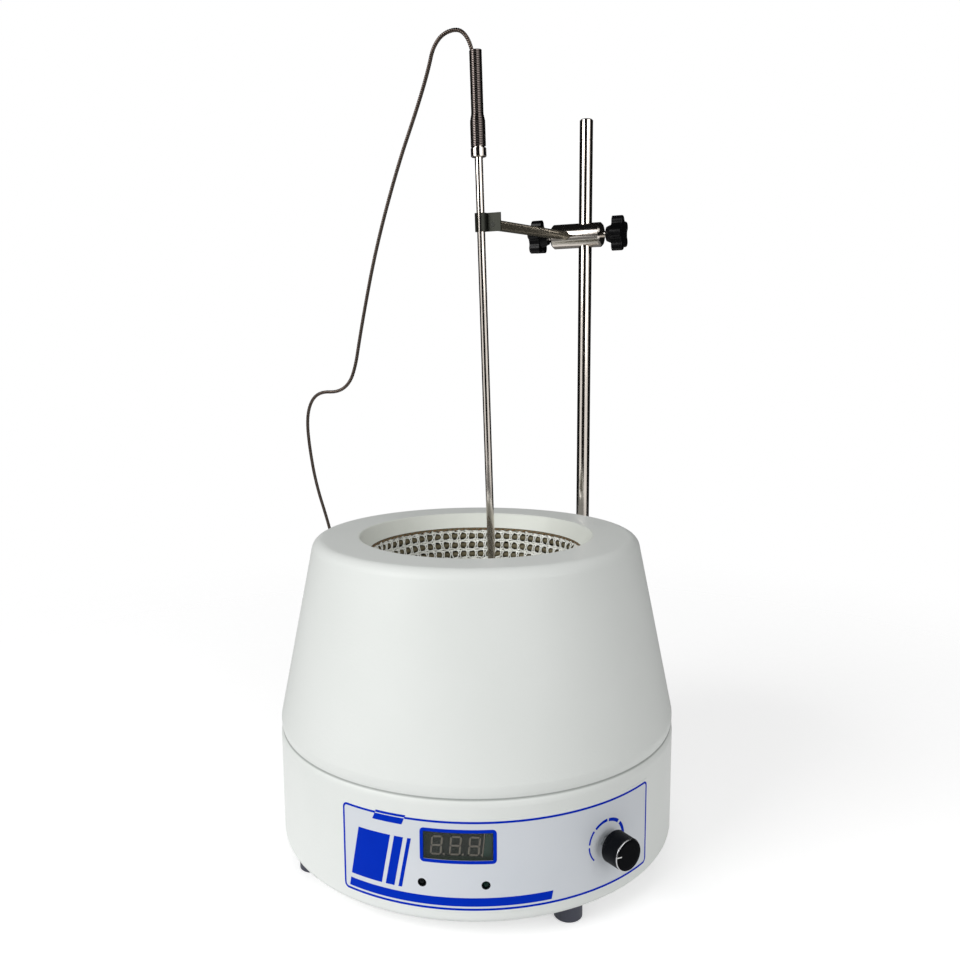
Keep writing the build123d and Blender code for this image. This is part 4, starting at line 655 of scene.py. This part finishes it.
def loop_yarn():
    """Pairs of strands from row to row over the cords: close together half way, spread at the ends."""
    points, faces = [], []
    steps = 7
    for row in range(ROW_COUNT):
        cells = cells_in(row)
        for cell in range(cells):
            turn = 2 * pi * cell / cells
            skew = LOOSE.uniform(-0.8, 0.8)
            for hand in (-1, 1):
                strand, radii = [], []
                for i in range(steps + 1):
                    share = i / steps
                    spread = LOOP_PINCH + LOOP_SPREAD * (2 * share - 1) ** 2 + LOOSE.uniform(-0.2, 0.2)
                    aside = (hand * spread + skew * (share - 0.5) * 2) / row_radius(row)
                    bow = LOOP_BOW * sin(pi * share) ** 0.7
                    strand.append(in_nest(row + share, turn + aside, NEST_RADIUS + 0.55 - bow))
                    radii.append((LOOP_YARN + LOOP_KNOT * cos(2 * pi * share)) * MM)
                tube(strand, radii, 5, points, faces)
    return points, faces


def rim_roll():
    """Rolled hem under the lip."""
    steps = 225
    points, faces = [], []
    ring = [below_rim(HEM_MIDDLE, 2 * pi * i / steps, NEST_RADIUS + 0.6) for i in range(steps)]
    tube(ring, HEM_RADIUS * MM, 8, points, faces, closed=True)
    return points, faces


def rim_stitches():
    """Slanting brown stitches over the hem."""
    points, faces = [], []
    steps = 5
    for i in range(STITCH_COUNT):
        strand = []
        for k in range(steps + 1):
            share = k / steps
            over = HEM_RADIUS * sin(pi * share)
            turn = 2 * pi * i / STITCH_COUNT + share * STITCH_SLANT / NEST_RADIUS
            down = 0.3 + 2.4 * share + LOOSE.uniform(-0.08, 0.08)
            strand.append(below_rim(down, turn, NEST_RADIUS + 0.5 - over))
        tube(strand, STITCH_RADIUS * MM, 5, points, faces)
    return points, faces


for nest_name, nest_form, nest_finish in (
    ("nest_ground", ground_cloth, "ground"), ("nest_cords", heater_cords, "cord"),
    ("nest_rows", row_yarn, "yarn"), ("nest_loops", loop_yarn, "yarn"),
    ("nest_hem", rim_roll, "cord"), ("nest_stitches", rim_stitches, "thread"),
):
    nest_piece = piece(nest_name, *nest_form(), nest_finish, "housing", "nest")
    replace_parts(nest_piece, "heating_nest")


# ================================================================ spring
PROBE_AXIS = Vector((-0.0276, -0.0631, 0.9976)).normalized()
CLIP_MIDDLE = Vector((5.42, -18.55, 485.39)) * MM
# Along the probe from the clip's middle, in millimetres: the spring's start, its whole length, the
# length of its wider foot and of the taper above it.
SPRING_START = 55.0
SPRING_LENGTH = 67.4
FOOT_LENGTH = 17.8
TAPER_LENGTH = 5.0
FOOT_RADIUS = 5.65
SPRING_RADIUS = 4.6
# The flat-sided wire: its pitch, and half its size across the coil and along it.
WIRE_PITCH = 1.2
WIRE_DEPTH = 0.4
WIRE_WIDTH = 0.53 * WIRE_PITCH


def close_wound():
    """Flat-sided wire of a close-wound spring with a wider foot."""
    steps, sides = 36, 8
    side = PROBE_AXIS.orthogonal().normalized()
    up = PROBE_AXIS.cross(side)
    points, faces = [], []
    rings = int((SPRING_LENGTH - WIRE_PITCH) / WIRE_PITCH * steps) + 1
    for i in range(rings):
        rise = i / steps * WIRE_PITCH
        narrowing = min(max((rise - FOOT_LENGTH) / TAPER_LENGTH, 0), 1)
        radius = FOOT_RADIUS + (SPRING_RADIUS - FOOT_RADIUS) * narrowing - WIRE_DEPTH
        turn = 2 * pi * i / steps
        outward = side * cos(turn) + up * sin(turn)
        middle = CLIP_MIDDLE + PROBE_AXIS * (SPRING_START + WIRE_PITCH / 2 + rise) * MM
        for k in range(sides):
            clock = -2 * pi * (k + 0.5) / sides
            out = radius + WIRE_DEPTH * cos(clock)
            points.append(middle + (outward * out + PROBE_AXIS * WIRE_WIDTH * sin(clock)) * MM)
    skin(rings, sides, faces)
    return points, faces


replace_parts(piece("spring_coil", *close_wound(), "spring", "probe", "braid_steel"), "probe_spring")


# ================================================================ temperature knob
KNOB_BEARING = 34.75
KNOB_HEIGHT = 56.3
KNOB_BACK = 164.4
KNOB_LENGTH = 14.6
UP = Vector((0, 0, 1))
KNOB_AXIS = around(KNOB_BEARING, 1, 0)
KNOB_RIGHT = around(KNOB_BEARING + 90, 1, 0)
FLUTES = 44
FLUTE_DEPTH = 0.22
# Profiles as distance out along the knob's axis and radius. The grip is fluted at its middle steps.
GRIP_PROFILE = (
    (0.0, 10.6), (0.0, 11.2), (0.3, 11.5), (1.2, 11.5), (1.5, 11.42), (5.0, 11.38), (9.0, 11.34),
    (12.2, 11.3), (12.6, 11.3), (12.9, 11.34), (KNOB_LENGTH - 0.75, 11.3),
)
FLUTED_STEPS = range(3, 9)
RING_PROFILE = (
    (KNOB_LENGTH - 0.8, 11.3), (KNOB_LENGTH - 0.75, 11.34), (KNOB_LENGTH - 0.2, 10.85),
    (KNOB_LENGTH - 0.2, 10.5),
)
FACE_PROFILE = (
    (KNOB_LENGTH - 0.5, 10.6), (KNOB_LENGTH - 0.12, 10.75), (KNOB_LENGTH - 0.05, 10.6),
    (KNOB_LENGTH - 0.07, 8.0), (KNOB_LENGTH - 0.09, 4.0), (KNOB_LENGTH - 0.1, 0.5),
)
# The white line on the face: its clock angle, where it starts, bends and ends, and its sizes.
POINTER_CLOCK = radians(278)
POINTER_REACHES = (10.7, 8.6, 6.6)
POINTER_HALF_WIDTH = 0.4
POINTER_FOOT = KNOB_LENGTH - 0.4


def on_knob(out, radius, clock):
    """Point of the knob: distance out along its axis, radius and clock angle from the top."""
    middle = KNOB_AXIS * (KNOB_BACK + out) + UP * KNOB_HEIGHT
    return (middle + (KNOB_RIGHT * sin(clock) + UP * cos(clock)) * radius) * MM


def turned(profile, sides, swell=None):
    """Round form about the knob's axis through (out, radius) points; swell changes a radius by angle."""
    points, faces = [], []
    for step, (out, radius) in enumerate(profile):
        for k in range(sides):
            clock = -2 * pi * k / sides
            extra = swell(step, clock) if swell else 0.0
            points.append(on_knob(out, radius + extra, clock))
    skin(len(profile), sides, faces)
    return points, faces


def flute(step, clock):
    """How far the grip's surface goes in at a step of its profile and a clock angle."""
    return -FLUTE_DEPTH * abs(sin(clock * FLUTES / 2)) if step in FLUTED_STEPS else 0.0


def knob_pointer():
    """Raised line from the edge of the face part of the way in."""
    across = on_knob(0, 1, POINTER_CLOCK + pi / 2) - on_knob(0, 0, 0)
    points, faces = [], []
    for reach in POINTER_REACHES:
        for hand, out in ((-1, POINTER_FOOT), (1, POINTER_FOOT), (1, KNOB_LENGTH), (-1, KNOB_LENGTH)):
            points.append(on_knob(out, reach, POINTER_CLOCK) + across * POINTER_HALF_WIDTH * hand)
    skin(len(POINTER_REACHES), 4, faces)
    return points, faces


for knob_name, knob_form, knob_finish, is_round in (
    ("knob_grip", turned(GRIP_PROFILE, FLUTES * 6, flute), "anodised", True),
    ("knob_ring", turned(RING_PROFILE, 180), "cut_edge", True),
    ("knob_face", turned(FACE_PROFILE, 120), "face", True),
    ("knob_pointer", knob_pointer(), "white", False),
):
    knob_piece = piece(knob_name, *knob_form, knob_finish, "control_knob", "knob_black", is_round)
    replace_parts(knob_piece, "temperature_knob")


# ================================================================ panel print
FILM_RADIUS = 157.85
INK = 0.1
# Longest run of the print before another point follows the film's curve.
PRINT_STEP = 2.5
# The frame line's width and the radius of its corners, then the display's line in the same terms.
FRAME_WIDTH, FRAME_CORNER = 1.5, 3.0
DISPLAY_LINE = (-13.42, 4.42, 58.25, 79.95)
DISPLAY_WIDTH, DISPLAY_CORNER = 2.3, 1.6
# Dashes round the knob, which widen along each: clock angles where they start and end, and width.
DIAL_DASHES = (
    (227, 268, 1.05), (275, 311, 1.35), (318, 359, 1.9), (4, 41, 2.4), (49, 86, 2.4), (94, 132, 2.0),
)
DIAL_RADIUS = 16.4
DIAL_HEIGHT = 57.0
# Leaning bars at the left: each one's offset and width, then their heights and their lean.
BARS = ((0.0, 25.0), (28.0, 6.5), (37.5, 2.6))
BARS_START, BARS_LOW, BARS_HIGH, BARS_LEAN = 6.0, 36.5, 72.0, 7.0
# The long bar along the foot: its start left of the bars, the bearing of its end, heights and lean.
FOOT_START, FOOT_END, FOOT_LOW, FOOT_HIGH, FOOT_LEAN = 1.9, 18.5, 27.0, 33.0, 1.2
# The tab on the frame line: where it starts, its length, how far it leans for each millimetre up
# and the heights of its two bands.
TAB_START, TAB_LENGTH, TAB_LEAN = -26.4, 22.0, 0.42
TAB_BANDS = ((81.0, 85.5), (86.2, 87.9))


def arc_of(bearing):
    """Distance round the film from the front, in millimetres."""
    return radians(bearing) * FILM_RADIUS


def on_film(arc, height, proud):
    """Point that far round the film, that high, and that far out from it."""
    return around(degrees(arc / FILM_RADIUS), FILM_RADIUS + proud, height) * MM


def divided(path, closed=False):
    """A flat path with points put in where its runs are longer than the print's step."""
    found = []
    ends = path[1:] + path[:1] if closed else path[1:]
    for (x0, y0), (x1, y1) in zip(path, ends):
        parts = max(1, ceil(hypot(x1 - x0, y1 - y0) / PRINT_STEP))
        found += [(x0 + (x1 - x0) * k / parts, y0 + (y1 - y0) * k / parts) for k in range(parts)]
    return found if closed else found + [path[-1]]


def inked_line(path, widths, closed, points, faces):
    """Raised line of ink along a flat path on the film, with a width or one for each point."""
    start = len(points)
    last = len(path) - 1
    for i, (x, y) in enumerate(path):
        before = path[i - 1] if i or closed else path[0]
        after = path[(i + 1) % len(path)] if i < last or closed else path[-1]
        run = Vector((after[0] - before[0], after[1] - before[1])).normalized()
        half = (widths[i] if isinstance(widths, list) else widths) / 2
        for hand, proud in ((-1, 0), (1, 0), (1, INK), (-1, INK)):
            points.append(on_film(x - run.y * half * hand, y + run.x * half * hand, proud))
    skin(len(path), 4, faces, start, closed)


def rounded_box(left, right, low, high, radius):
    """Flat closed path of a box with round corners."""
    path = []
    for x, y, first in ((right, high, 90), (right, low, 0), (left, low, -90), (left, high, 180)):
        centre = (x - radius if x == right else x + radius, y - radius if y == high else y + radius)
        for k in range(5):
            turn = radians(first - 22.5 * k)
            path.append((centre[0] + radius * cos(turn), centre[1] + radius * sin(turn)))
    return divided(path, closed=True)


def inked_field(left_edge, right_edge, columns, points, faces):
    """Filled area between two flat paths of equally many points."""
    start = len(points)
    rows = len(left_edge)
    for proud in (0, INK):
        for (x0, y0), (x1, y1) in zip(left_edge, right_edge):
            for k in range(columns + 1):
                share = k / columns
                points.append(on_film(x0 + (x1 - x0) * share, y0 + (y1 - y0) * share, proud))
    wide = columns + 1
    layer = rows * wide
    for j in range(rows - 1):
        for k in range(columns):
            a = start + j * wide + k
            faces.append((a, a + wide, a + wide + 1, a + 1))
            faces.append((layer + a, layer + a + 1, layer + a + wide + 1, layer + a + wide))
    edge = [(0, k) for k in range(columns)] + [(j, columns) for j in range(rows - 1)]
    edge += [(rows - 1, k) for k in range(columns, 0, -1)] + [(j, 0) for j in range(rows - 1, 0, -1)]
    spots = [start + j * wide + k for j, k in edge]
    for a, b in zip(spots, spots[1:] + spots[:1]):
        faces.append((a, b, layer + b, layer + a))


def leaning_bar(left, width, low, high, lean, points, faces):
    """Upright bar whose top stands to the right of its foot."""
    rows = 12
    first = [(left + lean * k / rows, low + (high - low) * k / rows) for k in range(rows + 1)]
    second = [(x + width, y) for x, y in first]
    inked_field(first, second, max(1, round(width / 2)), points, faces)


def leaning_band(left, length, low, high, lean, points, faces):
    """Level band whose top edge stands to the right of its foot."""
    foot = divided([(left, low), (left + length, low)])
    top = [(x + lean, high) for x, y in foot]
    inked_field(top, foot, 2, points, faces)


def frame_lines():
    """The frame line, open where the tab sits on it, and the line round the display."""
    points, faces = [], []
    left, right, low, high = FRAME_LINE
    tab = arc_of(TAB_START) + (high - TAB_BANDS[0][0]) * TAB_LEAN
    path = rounded_box(arc_of(left), arc_of(right), low, high, FRAME_CORNER)
    gap = [i for i, (x, y) in enumerate(path) if abs(y - high) < 0.01 and tab < x < tab + TAB_LENGTH]
    path = [(tab + TAB_LENGTH, high)] + path[gap[-1] + 1:] + path[:gap[0]] + [(tab, high)]
    inked_line(path, FRAME_WIDTH, False, points, faces)
    left, right, low, high = DISPLAY_LINE
    path = rounded_box(arc_of(left), arc_of(right), low, high, DISPLAY_CORNER)
    inked_line(path, DISPLAY_WIDTH, True, points, faces)
    return points, faces


def dial_dashes():
    points, faces = [], []
    middle = arc_of(KNOB_BEARING)
    parts = 12
    for first, last, width in DIAL_DASHES:
        path, widths = [], []
        for k in range(parts + 1):
            clock = radians(first + (last - first) * k / parts)
            radius = DIAL_RADIUS - width / 2
            path.append((middle + radius * sin(clock), DIAL_HEIGHT + radius * cos(clock)))
            widths.append(width * (0.92 + 0.16 * k / parts))
        inked_line(path, widths, False, points, faces)
    return points, faces


def stripe_design():
    """Leaning bars at the left, a long bar along the foot of the panel and a tab on the frame line."""
    points, faces = [], []
    left = arc_of(FRAME_LINE[0]) + BARS_START
    for offset, width in BARS:
        leaning_bar(left + offset, width, BARS_LOW, BARS_HIGH, BARS_LEAN, points, faces)
    start = left - FOOT_START
    leaning_band(start, arc_of(FOOT_END) - start, FOOT_LOW, FOOT_HIGH, FOOT_LEAN, points, faces)
    for low, high in TAB_BANDS:
        tab = arc_of(TAB_START) + (low - TAB_BANDS[0][0]) * TAB_LEAN
        leaning_band(tab, TAB_LENGTH, low, high, (high - low) * TAB_LEAN, points, faces)
    return points, faces


for ink_name, ink_form in (
    ("ink_frame_lines", frame_lines), ("ink_dial_dashes", dial_dashes), ("ink_stripes", stripe_design),
):
    piece(ink_name, *ink_form(), "blue", "housing", "panel_film", smooth=False)


# ================================================================ display
DISPLAY_BEARING = -4.5
DISPLAY_OUT = around(DISPLAY_BEARING, 1, 0)
DISPLAY_RIGHT = around(DISPLAY_BEARING + 90, 1, 0)
DIGIT_FACE = 152.55
DIGIT_MIDDLES = (-14.9, -2.2, 10.5)
DIGIT_LOW, DIGIT_HIGH = 60.7, 73.1
DIGIT_MIDDLE_HEIGHT = (DIGIT_LOW + DIGIT_HIGH) / 2
DIGIT_HALF_WIDTH = 3.3
DIGIT_LEAN = 0.1
STROKE_HALF, STROKE_GAP, STROKE_DEPTH = 0.62, 0.25, 0.12
DOT_RADIUS, DOT_SIDES = 0.75, 10
# Left, right, foot, top, back and front of the two strips beside the digits.
EDGE_LINE = (16.1, 16.8, 59.6, 76.6, 0.0, 0.3)
GREEN_STRIP = (17.1, 22.0, 60.0, 78.2, -0.6, 0.15)


def behind_pane(x, height, depth):
    """Point on the digit block: to the right, up, and out from its face."""
    lean = (height - DIGIT_MIDDLE_HEIGHT) * DIGIT_LEAN
    return (DISPLAY_OUT * (DIGIT_FACE + depth) + DISPLAY_RIGHT * (x + lean) + UP * height) * MM


def plate(corners, back, front, points, faces):
    """Adds a closed flat plate from (x, height) corners that go round anticlockwise."""
    start = len(points)
    for depth in (back, front):
        points += [behind_pane(x, height, depth) for x, height in corners]
    skin(2, len(corners), faces, start)


def stroke(first, last, points, faces):
    """Adds one segment of a digit: a bar with pointed ends."""
    first, last = Vector(first), Vector(last)
    run = (last - first).normalized()
    first, last = first + run * STROKE_GAP, last - run * STROKE_GAP
    along = run * STROKE_HALF
    side = Vector((-run.y, run.x)) * STROKE_HALF
    ring = (first, first + along - side, last - along - side, last, last - along + side, first + along + side)
    plate(ring, 0.0, STROKE_DEPTH, points, faces)


def digit_strokes():
    """Three digits of seven segments and a dot."""
    points, faces = [], []
    for middle in DIGIT_MIDDLES:
        left, right = middle - DIGIT_HALF_WIDTH, middle + DIGIT_HALF_WIDTH
        for height in (DIGIT_LOW, DIGIT_MIDDLE_HEIGHT, DIGIT_HIGH):
            stroke((left, height), (right, height), points, faces)
        for x in (left, right):
            stroke((x, DIGIT_LOW), (x, DIGIT_MIDDLE_HEIGHT), points, faces)
            stroke((x, DIGIT_MIDDLE_HEIGHT), (x, DIGIT_HIGH), points, faces)
        turns = [2 * pi * k / DOT_SIDES for k in range(DOT_SIDES)]
        x, height = right + 2.2, DIGIT_LOW + 0.1
        dot = [(x + DOT_RADIUS * cos(turn), height + DOT_RADIUS * sin(turn)) for turn in turns]
        plate(dot, 0.0, STROKE_DEPTH, points, faces)
    return points, faces


def strip(left, right, low, high, back, front):
    """Upright strip beside the digits."""
    points, faces = [], []
    plate([(left, low), (right, low), (right, high), (left, high)], back, front, points, faces)
    return points, faces


for display_name, display_form, display_finish in (
    ("digit_strokes", digit_strokes(), "segment"), ("display_edge_line", strip(*EDGE_LINE), "segment"),
    ("display_green_strip", strip(*GREEN_STRIP), "green_edge"),
):
    piece(display_name, *display_form, display_finish, "housing", "dark_gloss", smooth=False)


# ================================================================ studio
CAMERA_AT = (3.606 * MM, -709.6 * MM, 388.23 * MM)
CAMERA_DIP = radians(7.82)
CAMERA_ROLL = -0.0058
CAMERA_LENS = 33.705
LAMPS = (
    # name, bearing, distance, height, size, power
    ("key", -54, 2.0, 1.2, 1.3, 29.0),
    ("fill", 32, 2.1, 1.0, 1.3, 12.0),
    ("top", 0, 0.2, 2.4, 1.2, 2.0),
)
# Dark screens that only mirrors see, as ranges of bearing and of elevation.
DARK_SCREENS = ((72, 276, -18, 90), (-84, 72, 50, 90), (-42, 17, -18, 50))
SCREEN_RADIUS, SCREEN_MIDDLE, SCREEN_SHADE = 1.25, 0.4, 0.008
# Degrees that each flat face of a screen spans, or a little more.
SCREEN_STEP = 6
# Grey cloth round the foot of the object that mirrors see instead of the floor.
CLOTH_INNER, CLOTH_OUTER, CLOTH_SHADE = 0.36, 1.2, 0.2
FLOOR_RADIUS, FLOOR_GLOW = 1.5, 0.5
# Distance from the middle at which the floor starts to fade, and where it's gone.
FLOOR_FADE = (0.3, 1.1)
# Strength of the room's light on what isn't a mirror, a glass or the camera.
ROOM_LIGHT = 0.34


def room_light(scene):
    """Even white room, dimmer to the light it casts than to the eye."""
    scene.world = bpy.data.worlds.new("studio")
    scene.world.use_nodes = True
    room = Wiring(scene.world.node_tree)
    room.tree.nodes["Background"].inputs["Color"].default_value = (1, 1, 1, 1)
    room.connect(room.eased(room.seen_share(), 0.0, 1.0, ROOM_LIGHT, 1.0), "Background", "Strength")


def paper_finish():
    """Floor paper that glows to the camera and fades out into the backdrop."""
    f = Finish("pale floor", (0.8, 0.8, 0.8), 0.9, Specular_IOR_Level=0.0, Emission_Color=(1, 1, 1, 1))
    f.feed("Emission Strength", f.eased(f.seen_share(), 0.0, 1.0, 0.0, FLOOR_GLOW))
    distance = f.node("VectorMath", {"operation": "LENGTH"}, {0: f.place}, out="Value")
    fade = f.eased(distance, *FLOOR_FADE, 0.0, 1.0)
    values = {0: fade, 1: Flow(f, f.shader.outputs[0]), 2: f.node("BsdfTransparent")}
    f.connect(f.node("MixShader", None, values), "Material Output", "Surface")
    return f.material


def pale_floor():
    """Round floor that is white to the camera and keeps the shadow."""
    rings, sides = 12, 64
    points, faces = [(0, 0, 0)], []
    for j in range(1, rings + 1):
        reach = FLOOR_RADIUS * j / rings
        for k in range(sides):
            turn = 2 * pi * k / sides
            points.append((reach * cos(turn), reach * sin(turn), 0))
    for k in range(sides):
        faces.append((0, 1 + k, 1 + (k + 1) % sides))
    for j in range(rings - 1):
        for k in range(sides):
            a, b = 1 + j * sides + k, 1 + j * sides + (k + 1) % sides
            faces.append((a, a + sides, b + sides, b))
    form_object("floor", points, faces, paper_finish())


def mirror_stage(name, points, faces, shade):
    """A stage piece that mirrors alone see, in an even shade of grey."""
    glow = {"Emission_Color": (1, 1, 1, 1), "Emission_Strength": shade}
    cloth = Finish(name, (0, 0, 0), 0.5, Specular_IOR_Level=0.0, **glow)
    made = form_object(name, points, faces, cloth.material)
    made.visible_camera = False
    made.visible_diffuse = False
    made.visible_transmission = False
    made.visible_shadow = False


def floor_cloth():
    """Flat ring of cloth just over the floor."""
    sides = 48
    points, faces = [], []
    for k in range(sides):
        points.append(around(360 * k / sides, CLOTH_INNER, MM))
        points.append(around(360 * k / sides, CLOTH_OUTER, MM))
        following = 2 * ((k + 1) % sides)
        faces.append((2 * k, 2 * k + 1, following + 1, following))
    mirror_stage("floor_cloth", points, faces, CLOTH_SHADE)


def dark_screens():
    """Screens in front of, beside, behind and above the object, on one large ball."""
    points, faces = [], []
    for left, right, low, high in DARK_SCREENS:
        columns = max(2, (right - left) // SCREEN_STEP)
        rows = max(2, (high - low) // SCREEN_STEP)
        start = len(points)
        for j in range(rows + 1):
            rise = radians(low + (high - low) * j / rows)
            reach, height = SCREEN_RADIUS * cos(rise), SCREEN_RADIUS * sin(rise) + SCREEN_MIDDLE
            points += [around(left + (right - left) * k / columns, reach, height) for k in range(columns + 1)]
        for j in range(rows):
            for k in range(columns):
                a = start + j * (columns + 1) + k
                faces.append((a, a + 1, a + columns + 2, a + columns + 1))
    mirror_stage("screens", points, faces, SCREEN_SHADE)


def studio():
    scene = bpy.context.scene
    scene.view_settings.view_transform = "Standard"
    camera = bpy.data.objects.new("camera", bpy.data.cameras.new("camera"))
    camera.data.lens = CAMERA_LENS
    camera.data.clip_start = 0.01
    camera.data.clip_end = 50
    aim = Matrix.Rotation(pi / 2 - CAMERA_DIP, 4, "X") @ Matrix.Rotation(CAMERA_ROLL, 4, "Z")
    camera.matrix_world = Matrix.Translation(CAMERA_AT) @ aim
    scene.collection.objects.link(camera)
    scene.camera = camera
    room_light(scene)
    pale_floor()
    dark_screens()
    floor_cloth()
    for name, bearing, distance, height, size, power in LAMPS:
        lamp = bpy.data.lights.new(name, "AREA")
        lamp.size = size
        lamp.energy = power
        holder = bpy.data.objects.new(name, lamp)
        place = around(bearing, distance, height)
        holder.location = place
        holder.rotation_euler = (Vector((0, 0, 0.2)) - place).to_track_quat("-Z", "Y").to_euler()
        scene.collection.objects.link(holder)


studio()
